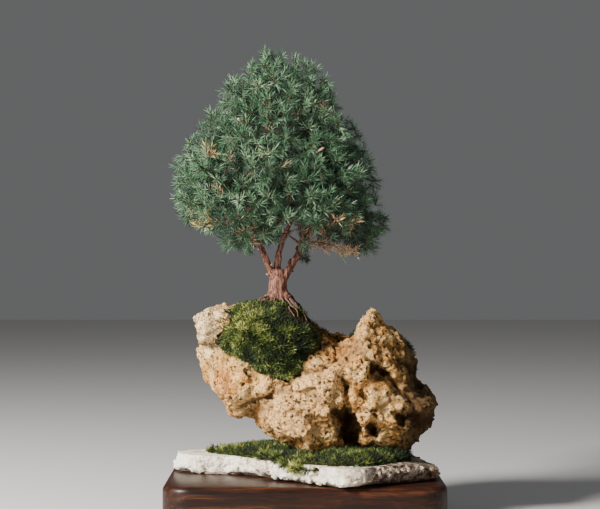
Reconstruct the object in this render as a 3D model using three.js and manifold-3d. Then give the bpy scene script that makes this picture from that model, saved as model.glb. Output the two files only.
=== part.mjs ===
// Juniper bonsai planted on a limestone rock, which stands in moss on a stone slab and a wooden stand.
// Millimetres, +Z up. The origin is the middle of the stand's underside, and the tree is viewed along +Y.

import * as THREE from 'three';
import Module from 'manifold-3d';
import { ImprovedNoise } from 'three/addons/math/ImprovedNoise.js';
import { mergeVertices } from 'three/addons/utils/BufferGeometryUtils.js';

const wasm = await Module();
wasm.setup();

// Driving dimensions

const CLEARANCE = 0.3; // gap between pieces that are cut to fit each other

const STAND = { width: 327, depth: 240, height: 50, corner: 34, cornerSteps: 4 };
// height above the floor and inset from the full outline, from the foot up to the rounded rim
const STAND_PROFILE = [[0, 7], [6, 7], [9, 1.5], [12, 0], [43, 0], [47.5, 1.6], [50, 6]];

// the slab's rings, bottom to top: share of the thickness, inset from the plan, waviness of the edge
const SLAB = { thickness: 22, rings: [[0, 3, 2.5], [0.28, 0, 2], [0.72, 0.5, 2], [1, 5, 2]] };
const SLAB_PLAN = [
  [-160, 30], [-141, 4], [-112, -4], [-88, -8], [-72, -24], [-50, -48], [-27, -70], [0, -97], [20, -114],
  [45, -132], [64, -129], [84, -110], [104, -99], [124, -86], [146, -70], [166, -52], [163, -22], [151, 14],
  [136, 44], [108, 66], [62, 78], [4, 86], [-54, 88], [-112, 80], [-148, 60],
];

// the moss mat's rings, edge to middle: inset from the plan and share of the height
const MAT = { height: 11, rings: [[2, 0.5], [14, 0.85], [44, 1]], waviness: 3, hummocks: 0.22 };
const MAT_PLAN = [
  [-120, 44], [-104, 16], [-78, -10], [-60, -30], [-38, -52], [-20, -74], [4, -88], [34, -104], [60, -104],
  [80, -90], [100, -72], [124, -44], [126, -8], [116, 30], [84, 52], [34, 62], [-24, 66], [-78, 66],
];

const BUMP_SIZE = 34; // width of the broad bumps on rock and moss
const ROCK = { centre: [12, 0, 165], front: 82, back: 74, detail: 5, roughness: 8 };
// front view of the rock, X and Z, anticlockwise from the tip of its right lobe
const ROCK_OUTLINE = [
  [158, 120], [151, 145], [139, 169], [129, 193], [122, 210], [104, 226], [87, 242], [76, 254], [64, 239],
  [55, 221], [41, 212], [22, 224], [4, 234], [-30, 240], [-60, 246], [-80, 257], [-104, 254], [-122, 246],
  [-133, 230], [-130, 214], [-125, 206], [-129, 196], [-122, 173], [-111, 152], [-98, 127], [-82, 122],
  [-60, 110], [-42, 98], [-18, 83], [6, 66], [32, 66], [54, 84], [84, 86], [106, 66], [128, 78], [150, 100],
];
// lumps that stand out of the rock: centre, half sizes, turn about Y in degrees
const ROCK_LUMPS = [
  { at: [-92, -14, 226], size: [40, 52, 27], turn: 8 },
  { at: [-76, -24, 160], size: [38, 52, 32], turn: 38 },
  { at: [-18, -50, 132], size: [44, 30, 34], turn: 28 },
  { at: [90, 2, 184], size: [33, 60, 54], turn: -26 },
  { at: [110, -16, 130], size: [44, 60, 32], turn: 14 },
  { at: [4, 38, 190], size: [62, 34, 38], turn: 10 },
];
// clefts and holes in the rock's face: centre, half sizes, turn about Y in degrees
const ROCK_CLEFTS = [
  { at: [50, -72, 114], size: [12, 28, 21], turn: 8 },
  { at: [48, -84, 148], size: [7, 24, 24], turn: -6 },
  { at: [82, -70, 104], size: [8, 18, 9], turn: 0 },
  { at: [-60, -84, 138], size: [28, 22, 6], turn: -24 },
  { at: [106, -72, 158], size: [24, 24, 6], turn: 40 },
  { at: [-126, -24, 203], size: [14, 46, 5.5], turn: -12 },
  { at: [-40, 76, 168], size: [26, 20, 9], turn: 30 },
];

const MOUND = { centre: [-42, -26, 206], front: 66, back: 60, detail: 3, roughness: 4 };
const MOUND_OUTLINE = [
  [26, 202], [20, 220], [6, 236], [-12, 250], [-32, 256], [-56, 257], [-76, 253], [-91, 245], [-103, 231],
  [-109, 212], [-92, 198], [-72, 181], [-50, 164], [-24, 154], [0, 148], [20, 162], [28, 184],
];
// the soil's own blob is the mound's, made smaller and pushed back into the rock
const SOIL = { shrink: 6, shift: [0, 10, -7], detail: 1 };

const TRUNK = { x: -32, y: 0, collar: 293, soilLine: 259, radius: 10.2, sides: 8 };
const ROOT_PLUG = { bottom: 226, bottomRadius: 5 };
const ROOTS = [
  { points: [[-36, -3, 268], [-43, -8, 262], [-50, -13, 259], [-56, -18, 253]], radii: [5, 3.6, 2.6, 1.6] },
  { points: [[-34, -6, 267], [-38, -13, 259], [-42, -20, 257], [-44, -28, 250]], radii: [4.6, 3.2, 2.4, 2] },
  { points: [[-28, -4, 268], [-20, -9, 261], [-13, -14, 257], [-8, -20, 248]], radii: [5, 3.8, 2.8, 1.6] },
  { points: [[-27, 2, 267], [-18, 4, 261], [-9, 6, 255], [-3, 8, 246]], radii: [4.6, 3.2, 2.2, 1.5] },
  { points: [[-34, 5, 267], [-40, 12, 260], [-46, 18, 256], [-50, 22, 248]], radii: [4.6, 3.2, 2.2, 1.5] },
];
const LIMBS = [
  {
    points: [[-38, 0, 286], [-44, -2, 301], [-50, -4, 316], [-56, -6, 330], [-68, -6, 356], [-76, -4, 388],
      [-76, 0, 420]],
    radii: [5.4, 4.2, 3.8, 3.6, 3.2, 2.6, 1.8],
  },
  {
    points: [[-33, 1, 286], [-32, 5, 306], [-29, 7, 324], [-21, 7, 343], [-16, 6, 356], [-22, 4, 396],
      [-34, 2, 440], [-40, 1, 488]],
    radii: [5.8, 4.2, 3.8, 3.6, 3.6, 3.2, 2.8, 1.8],
  },
  {
    points: [[-29, 0, 280], [-20, -1, 294], [-11, -3, 308], [-5, -4, 320], [-1, -4, 332], [-1, -3, 346],
      [10, -1, 374], [22, 2, 408], [22, 4, 446], [10, 4, 488]],
    radii: [6.2, 4.8, 4.3, 4.2, 4, 3.7, 3.2, 2.6, 2.2, 1.6],
  },
];
// bare twigs below the crown: a pruned stub and a dead twig with its side twigs
const BARE_TWIGS = [
  { points: [[-37, -3, 304], [-37, -4, 312], [-39, -4, 321]], radii: [1.8, 1.5, 1.2] },
  { points: [[-2, -4, 330], [8, -12, 328], [28, -20, 325], [48, -26, 325]], radii: [1.6, 1.3, 1.1, 0.8] },
  { points: [[14, -15, 327], [22, -22, 331], [30, -28, 334]], radii: [1, 0.8, 0.6] },
  { points: [[26, -19, 325], [34, -18, 320], [42, -16, 317]], radii: [1, 0.8, 0.6] },
];

// The crown is a lopsided dome. Each row is a height with its reach to the left and the right of the axis.
const CROWN = { axis: [-32, 2], depth: 0.86, tipsInside: 2, branchesFrom: 322 };
// the opening under the crown through which the limbs are seen, from front to back: its sides and its top
const OPENING = { left: -30, right: -3, top: 354 };
const CROWN_REACH = [
  [310, 20, 104], [320, 52, 133], [330, 72, 141], [339, 84, 141], [346, 96, 140], [354, 120, 136],
  [372, 131, 124], [396, 138, 124], [420, 134, 126], [440, 123, 115], [464, 107, 102], [486, 90, 88],
  [508, 78, 78], [522, 66, 68], [536, 51, 56], [550, 36, 40], [562, 20, 12],
];
// rings of sprays: height of the tips, how far the spray climbs, how many, share of the reach where it starts
const RINGS = [
  { tip: 332, rise: -8, count: 7, turn: 0.5, start: 0.42 },
  { tip: 354, rise: 6, count: 8, turn: 0, start: 0.46 },
  { tip: 380, rise: 16, count: 8, turn: 0.5, start: 0.44 },
  { tip: 416, rise: 24, count: 7, turn: 0.25, start: 0.42 },
  { tip: 452, rise: 32, count: 6, turn: 0, start: 0.38 },
  { tip: 487, rise: 38, count: 5, turn: 0.5, start: 0.32 },
  { tip: 524, rise: 44, count: 4, turn: 0, start: 0.3 },
];
// the two topmost sprays: their tips, and where they start below them
const APEX = { tips: [[-46, -2, 562], [0, 4, 549]], drop: 62, spread: 0.7, shift: -10 };
const UNEVEN = { turn: 0.3, height: 12 }; // share of a ring's spacing and millimetres that a tip may stray

const NEEDLE = { length: 10, thickness: 0.9, whorlHeight: 2, clearance: 0.5 };
// each needle tries these angles of lean, in degrees, and shares of its length in turn
const NEEDLE_LEANS = [[36, 1], [56, 1], [18, 0.9], [68, 0.7]];
const TIP_SHARE = 0.6; // of a needle's length, by which the pointed tip of a shoot runs on
const LEADER = { radius: 3.2, forks: [0.14, 0.38, 0.62], whorls: [0.93], sag: 7 };
const SHOOT = { radius: 2.1, collar: 3, longest: 40, shortest: 22, lean: 38, curl: 4 };
const SHOOT_WHORLS = { long: [0.48, 0.88], short: [0.84], shortUnder: 37 };
const BRANCH = { radius: 2.1, tipRadius: 1.5, sides: 3, steps: 2, climb: 0.5, dips: [3, -3, 9] };

// Colours, roughness and metalness, in the order they are used

const finish = (color, roughness) => new THREE.MeshStandardMaterial({ color, roughness, metalness: 0 });
const FINISHES = {
  wood: finish(0x3d1f14, 0.35),
  slabStone: finish(0xd9cfc2, 0.85),
  rockStone: finish(0xb99c74, 0.95),
  moss: finish(0x3f5420, 0.95),
  soil: finish(0x2e2218, 1.0),
  bark: finish(0x6d4a3a, 0.85),
  needles: finish(0x4f7568, 0.7),
};

// Small tools: vectors, seeded numbers, noise, and meshes to solids and back

const vec = (p) => new THREE.Vector3(p[0], p[1], p[2]);
const radians = THREE.MathUtils.degToRad;
const bumps = new ImprovedNoise();

function seeded(seed) {
  let state = seed;
  return () => {
    state = (state * 1664525 + 1013904223) % 4294967296;
    return state / 4294967296;
  };
}

// two octaves of noise, about -1 to 1
function unevenness(p, size, seed) {
  const broad = bumps.noise(p.x / size + seed, p.y / size, p.z / size);
  const fine = bumps.noise((p.x * 2.3) / size, (p.y * 2.3) / size + seed, (p.z * 2.3) / size);
  return broad + 0.5 * fine;
}

function meshOf(vertices, faces) {
  const geometry = new THREE.BufferGeometry();
  const places = vertices.flatMap((v) => v.toArray());
  geometry.setAttribute('position', new THREE.Float32BufferAttribute(places, 3));
  geometry.setIndex(faces.flat());
  return geometry;
}

function solidOf(geometry) {
  const bare = geometry.clone();
  bare.deleteAttribute('normal');
  bare.deleteAttribute('uv');
  const merged = mergeVertices(bare, 1e-3);
  const vertProperties = new Float32Array(merged.attributes.position.array);
  const triVerts = new Uint32Array(merged.index.array);
  return new wasm.Manifold(new wasm.Mesh({ numProp: 3, vertProperties, triVerts }));
}

function geometryOf(solid) {
  const mesh = solid.getMesh();
  const geometry = new THREE.BufferGeometry();
  geometry.setAttribute('position', new THREE.BufferAttribute(new Float32Array(mesh.vertProperties), 3));
  geometry.setIndex(new THREE.BufferAttribute(new Uint32Array(mesh.triVerts), 1));
  return geometry;
}

const joined = (solids) => solids.reduce((sum, solid) => sum.add(solid));

// the largest of a solid's separate bodies, which drops the loose scraps that a cut leaves
function mainBody(solid) {
  const bodies = solid.decompose();
  return bodies.reduce((best, body) => (body.volume() > best.volume() ? body : best));
}

// two ways to close a flat end: a fan for a round ring, and ear clipping for a plan that may be concave
const fanOver = (ring) => ring.slice(2).map((_, j) => [0, j + 1, j + 2]);

function planOver(ring) {
  return THREE.ShapeUtils.triangulateShape(ring.map((p) => new THREE.Vector2(p.x, p.y)), []);
}

// Rings of points joined into one closed skin.
function loft(rings, endOver = fanOver) {
  const vertices = rings.flat();
  const faces = [];
  let first = 0;
  for (let i = 0; i + 1 < rings.length; i += 1) {
    const count = rings[i].length;
    const next = first + count;
    for (let j = 0; j < count; j += 1) {
      const k = (j + 1) % count;
      faces.push([first + j, first + k, next + j], [first + k, next + k, next + j]);
    }
    first = next;
  }
  for (const [a, b, c] of endOver(rings[0])) faces.push([a, c, b]);
  for (const face of endOver(rings[rings.length - 1])) faces.push(face.map((n) => first + n));
  return meshOf(vertices, faces);
}

// a tapering limb through a few points, on a smooth curve
function limb(points, radii, sides, steps, extra = 0) {
  const curve = new THREE.CatmullRomCurve3(points.map(vec));
  const frames = curve.computeFrenetFrames(steps, false);
  const rings = [];
  for (let i = 0; i <= steps; i += 1) {
    const place = (i / steps) * (radii.length - 1);
    const low = Math.min(Math.floor(place), radii.length - 2);
    const radius = THREE.MathUtils.lerp(radii[low], radii[low + 1], place - low) + extra;
    const centre = curve.getPoint(i / steps);
    rings.push(ringAround(centre, frames.normals[i], frames.binormals[i], radius, sides, 0));
  }
  return solidOf(loft(rings));
}

function ringAround(centre, normal, binormal, radius, sides, turn) {
  const ring = [];
  for (let j = 0; j < sides; j += 1) {
    const angle = turn + (j / sides) * Math.PI * 2;
    const across = normal.clone().multiplyScalar(Math.cos(angle) * radius);
    across.addScaledVector(binormal, Math.sin(angle) * radius);
    ring.push(across.add(centre));
  }
  return ring;
}

// Stone, moss and soil: a ball pushed out to an outline in the front view and to a depth in front and behind

function reachAt(outline, centre, angle) {
  const turns = outline.map(([x, z]) => Math.atan2(z - centre[2], x - centre[0]));
  const reaches = outline.map(([x, z]) => Math.hypot(x - centre[0], z - centre[2]));
  const full = Math.PI * 2;
  for (let i = 0; i < outline.length; i += 1) {
    const k = (i + 1) % outline.length;
    const span = (turns[k] - turns[i] + full) % full;
    const ahead = (angle - turns[i] + full) % full;
    if (span < Math.PI && ahead <= span) return THREE.MathUtils.lerp(reaches[i], reaches[k], ahead / span);
  }
  return Math.max(...reaches);
}

function outlinedBlob(form, outline, seed, grow = 0, shift = [0, 0, 0]) {
  const { centre, front, back, detail } = form;
  const ball = new THREE.IcosahedronGeometry(1, detail);
  const at = ball.attributes.position;
  const p = new THREE.Vector3();
  for (let i = 0; i < at.count; i += 1) {
    p.fromBufferAttribute(at, i).normalize();
    const inPlane = Math.hypot(p.x, p.z);
    const reach = reachAt(outline, centre, Math.atan2(p.z, p.x));
    const depth = p.y < 0 ? front : back;
    const length = 1 / Math.sqrt((inPlane / reach) ** 2 + (p.y / depth) ** 2);
    const bump = form.roughness * unevenness(p.clone().multiplyScalar(length), BUMP_SIZE, seed);
    p.multiplyScalar(length + bump * (1 - 0.65 * inPlane ** 6) + grow);
    at.setXYZ(i, p.x + centre[0] + shift[0], p.y + centre[1] + shift[1], p.z + centre[2] + shift[2]);
  }
  return solidOf(ball);
}

function boulder({ at: place, size, turn }, detail, rough, seed, grow = 0) {
  const ball = new THREE.IcosahedronGeometry(1, detail);
  const at = ball.attributes.position;
  const turned = new THREE.Matrix4().makeRotationY(radians(turn));
  const p = new THREE.Vector3();
  for (let i = 0; i < at.count; i += 1) {
    p.fromBufferAttribute(at, i).normalize();
    const bump = 1 + rough * unevenness(p.clone().multiplyScalar(BUMP_SIZE), BUMP_SIZE, seed);
    p.set(p.x * (size[0] + grow), p.y * (size[1] + grow), p.z * (size[2] + grow)).multiplyScalar(bump);
    p.applyMatrix4(turned).add(vec(place));
    at.setXYZ(i, p.x, p.y, p.z);
  }
  return solidOf(ball);
}

function boxBelow(height) {
  const box = new THREE.BoxGeometry(600, 600, 200);
  box.translate(0, 0, height - 100);
  return solidOf(box);
}

// Wooden stand: one block with large round corners, a plain foot and a rounded rim

function roundedPlan(width, depth, corner, steps) {
  const points = [];
  for (let q = 0; q < 4; q += 1) {
    const cx = (q === 0 || q === 3 ? 1 : -1) * (width / 2 - corner);
    const cy = (q < 2 ? 1 : -1) * (depth / 2 - corner);
    for (let i = 0; i <= steps; i += 1) {
      const angle = ((q + i / steps) * Math.PI) / 2;
      points.push([cx + Math.cos(angle) * corner, cy + Math.sin(angle) * corner]);
    }
  }
  return points;
}

function standBlock() {
  const rings = STAND_PROFILE.map(([height, inset]) => {
    const plan = roundedPlan(STAND.width - 2 * inset, STAND.depth - 2 * inset, STAND.corner - inset,
      STAND.cornerSteps);
    return plan.map(([x, y]) => new THREE.Vector3(x, y, height));
  });
  return loft(rings);
}

// Limestone slab and the moss that covers most of it

// a plan outline pulled in towards its middle by an inset, at one height
function planRing(plan, inset, height, wave, seed) {
  const middle = [0, 0];
  for (const [x, y] of plan) {
    middle[0] += x / plan.length;
    middle[1] += y / plan.length;
  }
  return plan.map(([x, y]) => {
    const out = Math.hypot(x - middle[0], y - middle[1]);
    const pull = inset + wave * unevenness(new THREE.Vector3(x, y, height * 3), 26, seed);
    const share = (out - pull) / out;
    const pulled = [x, y].map((value, n) => middle[n] + (value - middle[n]) * share);
    return new THREE.Vector3(...pulled, height);
  });
}

function slabStone() {
  const low = STAND.height;
  const rings = SLAB.rings.map(([share, inset, waviness], i) =>
    planRing(SLAB_PLAN, inset, low + SLAB.thickness * share, waviness, 3 + 2 * i));
  return loft(rings, planOver);
}

function mossMat(rockWithGap) {
  const low = STAND.height + SLAB.thickness;
  const rings = [planRing(MAT_PLAN, 0, low, MAT.waviness, 11)];
  for (const [inset, share] of MAT.rings) {
    const ring = planRing(MAT_PLAN, inset, low, MAT.waviness, 13);
    for (const p of ring) p.z += MAT.height * (share + MAT.hummocks * unevenness(p, 22, 17));
    rings.push(ring);
  }
  return mainBody(solidOf(loft(rings, planOver)).subtract(rockWithGap));
}

// Rock: the main mass with its lumps, clefts cut in its face, and two flat feet on the slab

function rockMass(grow) {
  const lumps = ROCK_LUMPS.map((lump, i) => boulder(lump, 2, 0.17, 21 + i, grow));
  return joined([outlinedBlob(ROCK, ROCK_OUTLINE, 19, grow), ...lumps]);
}

function rockStone(moundWithGap) {
  const clefts = ROCK_CLEFTS.map((cleft, i) => boulder(cleft, 0, 0.1, 41 + i));
  let rock = rockMass(0).subtract(boxBelow(STAND.height + SLAB.thickness));
  rock = rock.subtract(joined(clefts));
  return mainBody(rock.subtract(moundWithGap));
}

// Trunk, roots, limbs and branches, one grown piece

function trunkBase(extra) {
  const { x, y, collar, soilLine, radius, sides } = TRUNK;
  const along = new THREE.Vector3(1, 0, 0);
  const across = new THREE.Vector3(0, 1, 0);
  const above = [-6, 2, 12, 24].map((rise) => soilLine + rise);
  const heights = [ROOT_PLUG.bottom - extra, ...above, collar + 2];
  const radii = [ROOT_PLUG.bottomRadius, 12.5, 13, radius, radius * 0.97, radius * 0.8];
  const rings = heights.map((height, i) =>
    ringAround(new THREE.Vector3(x, y, height), along, across, radii[i] + extra, sides, i * 0.12));
  return solidOf(loft(rings));
}

function rootsInSoil(extra) {
  const roots = ROOTS.map(({ points, radii }) => limb(points, radii, 4, 4, extra));
  return joined([trunkBase(extra), ...roots]);
}

function axisPoint(height) {
  return new THREE.Vector3(CROWN.axis[0], CROWN.axis[1], height);
}

// how far the crown reaches from its axis, at a height and a direction round the axis
function crownReach(height, angle) {
  let [low, high] = [CROWN_REACH[0], CROWN_REACH[1]];
  for (let i = 0; i + 1 < CROWN_REACH.length; i += 1) {
    if (height >= CROWN_REACH[i][0]) [low, high] = [CROWN_REACH[i], CROWN_REACH[i + 1]];
  }
  const share = THREE.MathUtils.clamp((height - low[0]) / (high[0] - low[0]), 0, 1);
  const left = THREE.MathUtils.lerp(low[1], high[1], share);
  const right = THREE.MathUtils.lerp(low[2], high[2], share);
  const side = Math.cos(angle) > 0 ? right : left;
  const deep = ((left + right) / 2) * CROWN.depth;
  return 1 / Math.hypot(Math.cos(angle) / side, Math.sin(angle) / deep);
}

// where each spray starts and where its tip ends, ring by ring up the crown
function sprayPlaces() {
  const random = seeded(7);
  const places = [];
  for (const ring of RINGS) {
    for (let i = 0; i < ring.count; i += 1) {
      const angle = ((i + ring.turn + (random() - 0.5) * UNEVEN.turn) / ring.count) * Math.PI * 2;
      const height = ring.tip + (random() - 0.5) * UNEVEN.height;
      const reach = crownReach(height, angle) - CROWN.tipsInside;
      const out = new THREE.Vector3(Math.cos(angle), Math.sin(angle), 0);
      const tip = axisPoint(height).addScaledVector(out, reach);
      const start = axisPoint(height - ring.rise).addScaledVector(out, reach * ring.start);
      places.push({ start, tip });
    }
  }
  for (const [x, y, z] of APEX.tips) {
    const start = new THREE.Vector3(x * APEX.spread + APEX.shift, y, z - APEX.drop);
    places.push({ start, tip: new THREE.Vector3(x, y, z) });
  }
  return places;
}

function limbPoints() {
  const found = [];
  for (const { points } of LIMBS) {
    const curve = new THREE.CatmullRomCurve3(points.map(vec));
    for (const p of curve.getPoints(40)) if (p.z > CROWN.branchesFrom) found.push(p);
  }
  return found;
}

// Everything placed so far is kept as lines with a thickness, so that nothing new touches it.

const taken = [];

function isFree(a, b, thickness, ...owners) {
  const line = new THREE.Line3(a, b);
  return taken.every((other) => {
    if (owners.includes(other.owner)) return true;
    const room = thickness + other.thickness + NEEDLE.clearance;
    return line.distanceSqToLine3(other.line) > room * room;
  });
}

function take(a, b, thickness, owner) {
  taken.push({ line: new THREE.Line3(a.clone(), b.clone()), thickness, owner });
}

function takePath(path, thickness, owner) {
  for (let i = 0; i + 1 < path.length; i += 1) take(path[i], path[i + 1], thickness, owner);
}

// swings a spray round its start, and then starts it further out, until its leading shoot is clear
function settleSpray(place, owner) {
  const lead = place.tip.clone().sub(place.start);
  const reach = LEADER.radius + LEADER.sag / 4;
  const swings = [0, 0.15, -0.15, 0.3, -0.3, 0.45, -0.45];
  const tries = [0, 0.15, 0.3, 0.42].flatMap((push) => swings.flatMap((swing) =>
    [0, 0.12, -0.12, 0.24, -0.24].map((lift) => ({ push, swing, lift }))));
  for (const { push, swing, lift } of tries) {
    const swung = lead.clone().applyAxisAngle(new THREE.Vector3(0, 0, 1), swing);
    swung.z += lift * lead.length();
    const start = place.start.clone().addScaledVector(lead, push);
    const tip = place.start.clone().add(swung);
    const leavesOpening = [0.5, 0.75, 1].every((share) => !inOpening(start.clone().lerp(tip, share)));
    if (leavesOpening && isFree(start, tip, reach, owner)) {
      place.start = start;
      place.tip = tip;
      break;
    }
  }
  take(place.start, place.tip, reach, owner);
}

// a spray's branch leaves a limb below it, passes clear of the other sprays, and ends in line with it
function branchPath(place, starts, owner) {
  const lead = place.tip.clone().sub(place.start).normalize();
  const end = place.start.clone().addScaledVector(lead, -CLEARANCE);
  const before = end.clone().addScaledVector(lead, -7);
  const cost = (p) => {
    const flat = Math.hypot(p.x - end.x, p.y - end.y);
    return flat + Math.abs(p.z - end.z + BRANCH.climb * flat) * 1.4;
  };
  const paths = [...starts].sort((p, q) => cost(p) - cost(q)).flatMap((from) => BRANCH.dips.map((dip) => {
    const middle = from.clone().lerp(before, 0.55);
    middle.z -= dip;
    return [from, middle, before, end];
  }));
  const clearOf = (path) => {
    const line = new THREE.CatmullRomCurve3(path).getPoints(BRANCH.steps);
    return line.every((p, i) => i === 0 || isFree(line[i - 1], p, BRANCH.radius, 'trunk', owner));
  };
  return (paths.find(clearOf) ?? paths[0]).map((p) => p.toArray());
}

// Sprays of needles. A spray's skin grows as a list of vertices and faces.
// A foot is the four corners of a small patch of that skin, out of which a needle or a side shoot is drawn.
function footFrame(skin, foot) {
  const [a, b, c, d] = foot.map((n) => skin.vertices[n]);
  const middle = a.clone().add(b).add(c).add(d).multiplyScalar(0.25);
  const out = b.clone().sub(a).cross(d.clone().sub(a)).normalize();
  return { middle, out };
}

function closeFoot(skin, [a, b, c, d]) {
  skin.faces.push([a, b, d], [b, c, d]);
}

// a needle leaning forward along its shoot, or bent aside where something else is close
function addNeedle(skin, foot, direction, owner, ...parents) {
  const { middle, out } = footFrame(skin, foot);
  for (const [lean, share] of NEEDLE_LEANS) {
    const reach = NEEDLE.length * share;
    const point = middle.clone().addScaledVector(out, Math.cos(radians(lean)) * reach);
    point.addScaledVector(direction, Math.sin(radians(lean)) * reach);
    if (!inOpening(point) && isFree(middle, point, NEEDLE.thickness, owner, ...parents)) {
      take(middle, point, NEEDLE.thickness, owner);
      const n = skin.vertices.push(point) - 1;
      const [a, b, c, d] = foot;
      skin.faces.push([a, b, n], [b, c, n], [c, d, n], [d, a, n]);
      return;
    }
  }
  closeFoot(skin, foot);
}

// three points round the shoot's middle line, and the numbers that they have in the skin
function addRing(skin, line, share, turn) {
  const ring = ringAround(line.at(share), line.side, line.up, line.radius * (1 - 0.45 * share), 3, turn);
  return ring.map((p) => skin.vertices.push(p) - 1);
}

function bridge(skin, low, high) {
  feetBetween(low, high).forEach((foot) => closeFoot(skin, foot));
}

function feetBetween(low, high) {
  return [0, 1, 2].map((j) => [low[j], low[(j + 1) % 3], high[(j + 1) % 3], high[j]]);
}

// the middle line of a shoot, bowed up or down by sag, with the two directions across it
function shootLine(root, direction, length, radius, sag, side) {
  const up = direction.clone().cross(side).normalize();
  const at = (share) => {
    const p = root.clone().addScaledVector(direction, length * share);
    p.z += sag * (share * share - share);
    return p;
  };
  return { root, direction, length, radius, side, up, at };
}

// Rings up a shoot in pairs, to a pointed tip. Each pair's three faces are feet for needles or side shoots.
function climbShoot(skin, line, firstRing, firstTurn, stations, fill) {
  let ring = firstRing;
  stations.forEach((share, i) => {
    const turn = firstTurn + ((i + 1) * Math.PI) / 3;
    const half = NEEDLE.whorlHeight / 2 / line.length;
    const low = addRing(skin, line, share - half, turn);
    const high = addRing(skin, line, share + half, turn);
    bridge(skin, ring, low);
    feetBetween(low, high).forEach((foot, j) => fill(foot, j, i));
    ring = high;
  });
  const point = skin.vertices.push(line.at(1).addScaledVector(line.direction, NEEDLE.length * TIP_SHARE)) - 1;
  for (let j = 0; j < 3; j += 1) skin.faces.push([ring[j], ring[(j + 1) % 3], point]);
}

// a side shoot drawn out of a foot in the first free direction, shorter where nothing else is free
function addShoot(skin, foot, leader, longest, random, owner, parent) {
  const { middle, out } = footFrame(skin, foot);
  const across = leader.direction.clone().cross(out).normalize();
  for (const shorter of [1, 0.8, 0.6]) {
    for (const swing of [0, 18, -18, 36, -36]) {
      const lean = radians(SHOOT.lean + (random() - 0.5) * 18);
      const direction = out.clone().multiplyScalar(Math.cos(lean) * Math.cos(radians(swing)));
      direction.addScaledVector(leader.direction, Math.sin(lean));
      direction.addScaledVector(across, Math.cos(lean) * Math.sin(radians(swing)));
      direction.normalize();
      const length = longest * shorter;
      const start = middle.clone().addScaledVector(direction, SHOOT.radius + 1);
      const tip = middle.clone().addScaledVector(direction, length + NEEDLE.length * TIP_SHARE);
      const roomy = isFree(start, tip, SHOOT.radius + 1, parent);
      if (insideCrown(tip) && roomy) {
        drawShoot(skin, foot, middle, direction, length, owner);
        take(start, tip, SHOOT.radius, owner);
        return;
      }
    }
  }
  addNeedle(skin, foot, leader.direction, `${parent}.needles`, parent);
}

function drawShoot(skin, foot, root, direction, length, owner) {
  const towardsFirst = skin.vertices[foot[0]].clone().sub(root);
  const side = towardsFirst.addScaledVector(direction, -towardsFirst.dot(direction)).normalize();
  const line = shootLine(root, direction, length, SHOOT.radius, SHOOT.curl, side);
  const [a, b, c, d] = foot;
  const [p, q, r] = addRing(skin, line, SHOOT.collar / length, 0);
  skin.faces.push([a, b, p], [b, q, p], [b, c, q], [c, r, q], [c, d, r], [d, p, r], [d, a, p]);
  const whorls = length < SHOOT_WHORLS.shortUnder ? SHOOT_WHORLS.short : SHOOT_WHORLS.long;
  climbShoot(skin, line, [p, q, r], 0, whorls, (face) => addNeedle(skin, face, direction, owner));
}

// One spray: a leading shoot that forks into side shoots, with a whorl of needles near its tip.
function spray(place, owner, seed) {
  const random = seeded(seed);
  const along = place.tip.clone().sub(place.start);
  const length = along.length() - NEEDLE.length * TIP_SHARE;
  const direction = along.normalize();
  const side = new THREE.Vector3(0, 0, 1).cross(direction);
  if (side.lengthSq() < 0.05) side.set(1, 0, 0);
  side.normalize();
  const line = shootLine(place.start, direction, length, LEADER.radius, LEADER.sag, side);
  const skin = { vertices: [], faces: [] };
  const turn = random() * 6;
  const base = addRing(skin, line, 0, turn);
  skin.faces.push([base[0], base[2], base[1]]);
  const stations = [...LEADER.forks, ...LEADER.whorls];
  climbShoot(skin, line, base, turn, stations, (foot, j, i) => {
    const isShoot = i < LEADER.forks.length && j !== i % 3;
    const longest = THREE.MathUtils.lerp(SHOOT.longest, SHOOT.shortest, stations[i]);
    if (isShoot) addShoot(skin, foot, line, longest, random, `${owner}.${i}.${j}`, owner);
    else addNeedle(skin, foot, direction, `${owner}.needles`, owner);
  });
  return meshOf(skin.vertices, skin.faces);
}

function inOpening(p) {
  return p.x > OPENING.left && p.x < OPENING.right && p.z < OPENING.top;
}

function insideCrown(p) {
  const [x, y] = [p.x - CROWN.axis[0], p.y - CROWN.axis[1]];
  const low = CROWN_REACH[0][0];
  const high = CROWN_REACH[CROWN_REACH.length - 1][0];
  return p.z > low && p.z < high && !inOpening(p) && Math.hypot(x, y) < crownReach(p.z, Math.atan2(y, x));
}

// The pieces

const bonsai = new THREE.Group();

function addPiece(name, shape, material) {
  const geometry = shape.isBufferGeometry ? shape : geometryOf(shape);
  const mesh = new THREE.Mesh(geometry, material);
  mesh.name = name;
  bonsai.add(mesh);
}

const mound = outlinedBlob(MOUND, MOUND_OUTLINE, 61);
const moundWithGap = outlinedBlob(MOUND, MOUND_OUTLINE, 61, CLEARANCE);
const soilForm = { ...MOUND, detail: SOIL.detail };
const soilBall = outlinedBlob(soilForm, MOUND_OUTLINE, 61, -SOIL.shrink, SOIL.shift);
const soilBallWithGap = outlinedBlob(soilForm, MOUND_OUTLINE, 61, CLEARANCE - SOIL.shrink, SOIL.shift);
const rootHoles = rootsInSoil(CLEARANCE);

addPiece('stand', standBlock(), FINISHES.wood);
addPiece('slab', slabStone(), FINISHES.slabStone);
addPiece('rock', rockStone(moundWithGap), FINISHES.rockStone);
addPiece('moss_mat', mossMat(rockMass(CLEARANCE)), FINISHES.moss);
addPiece('soil', mainBody(soilBall.intersect(mound).subtract(rootHoles)), FINISHES.soil);
addPiece('moss_mound', mainBody(mound.subtract(soilBallWithGap).subtract(rootHoles)), FINISHES.moss);

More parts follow.
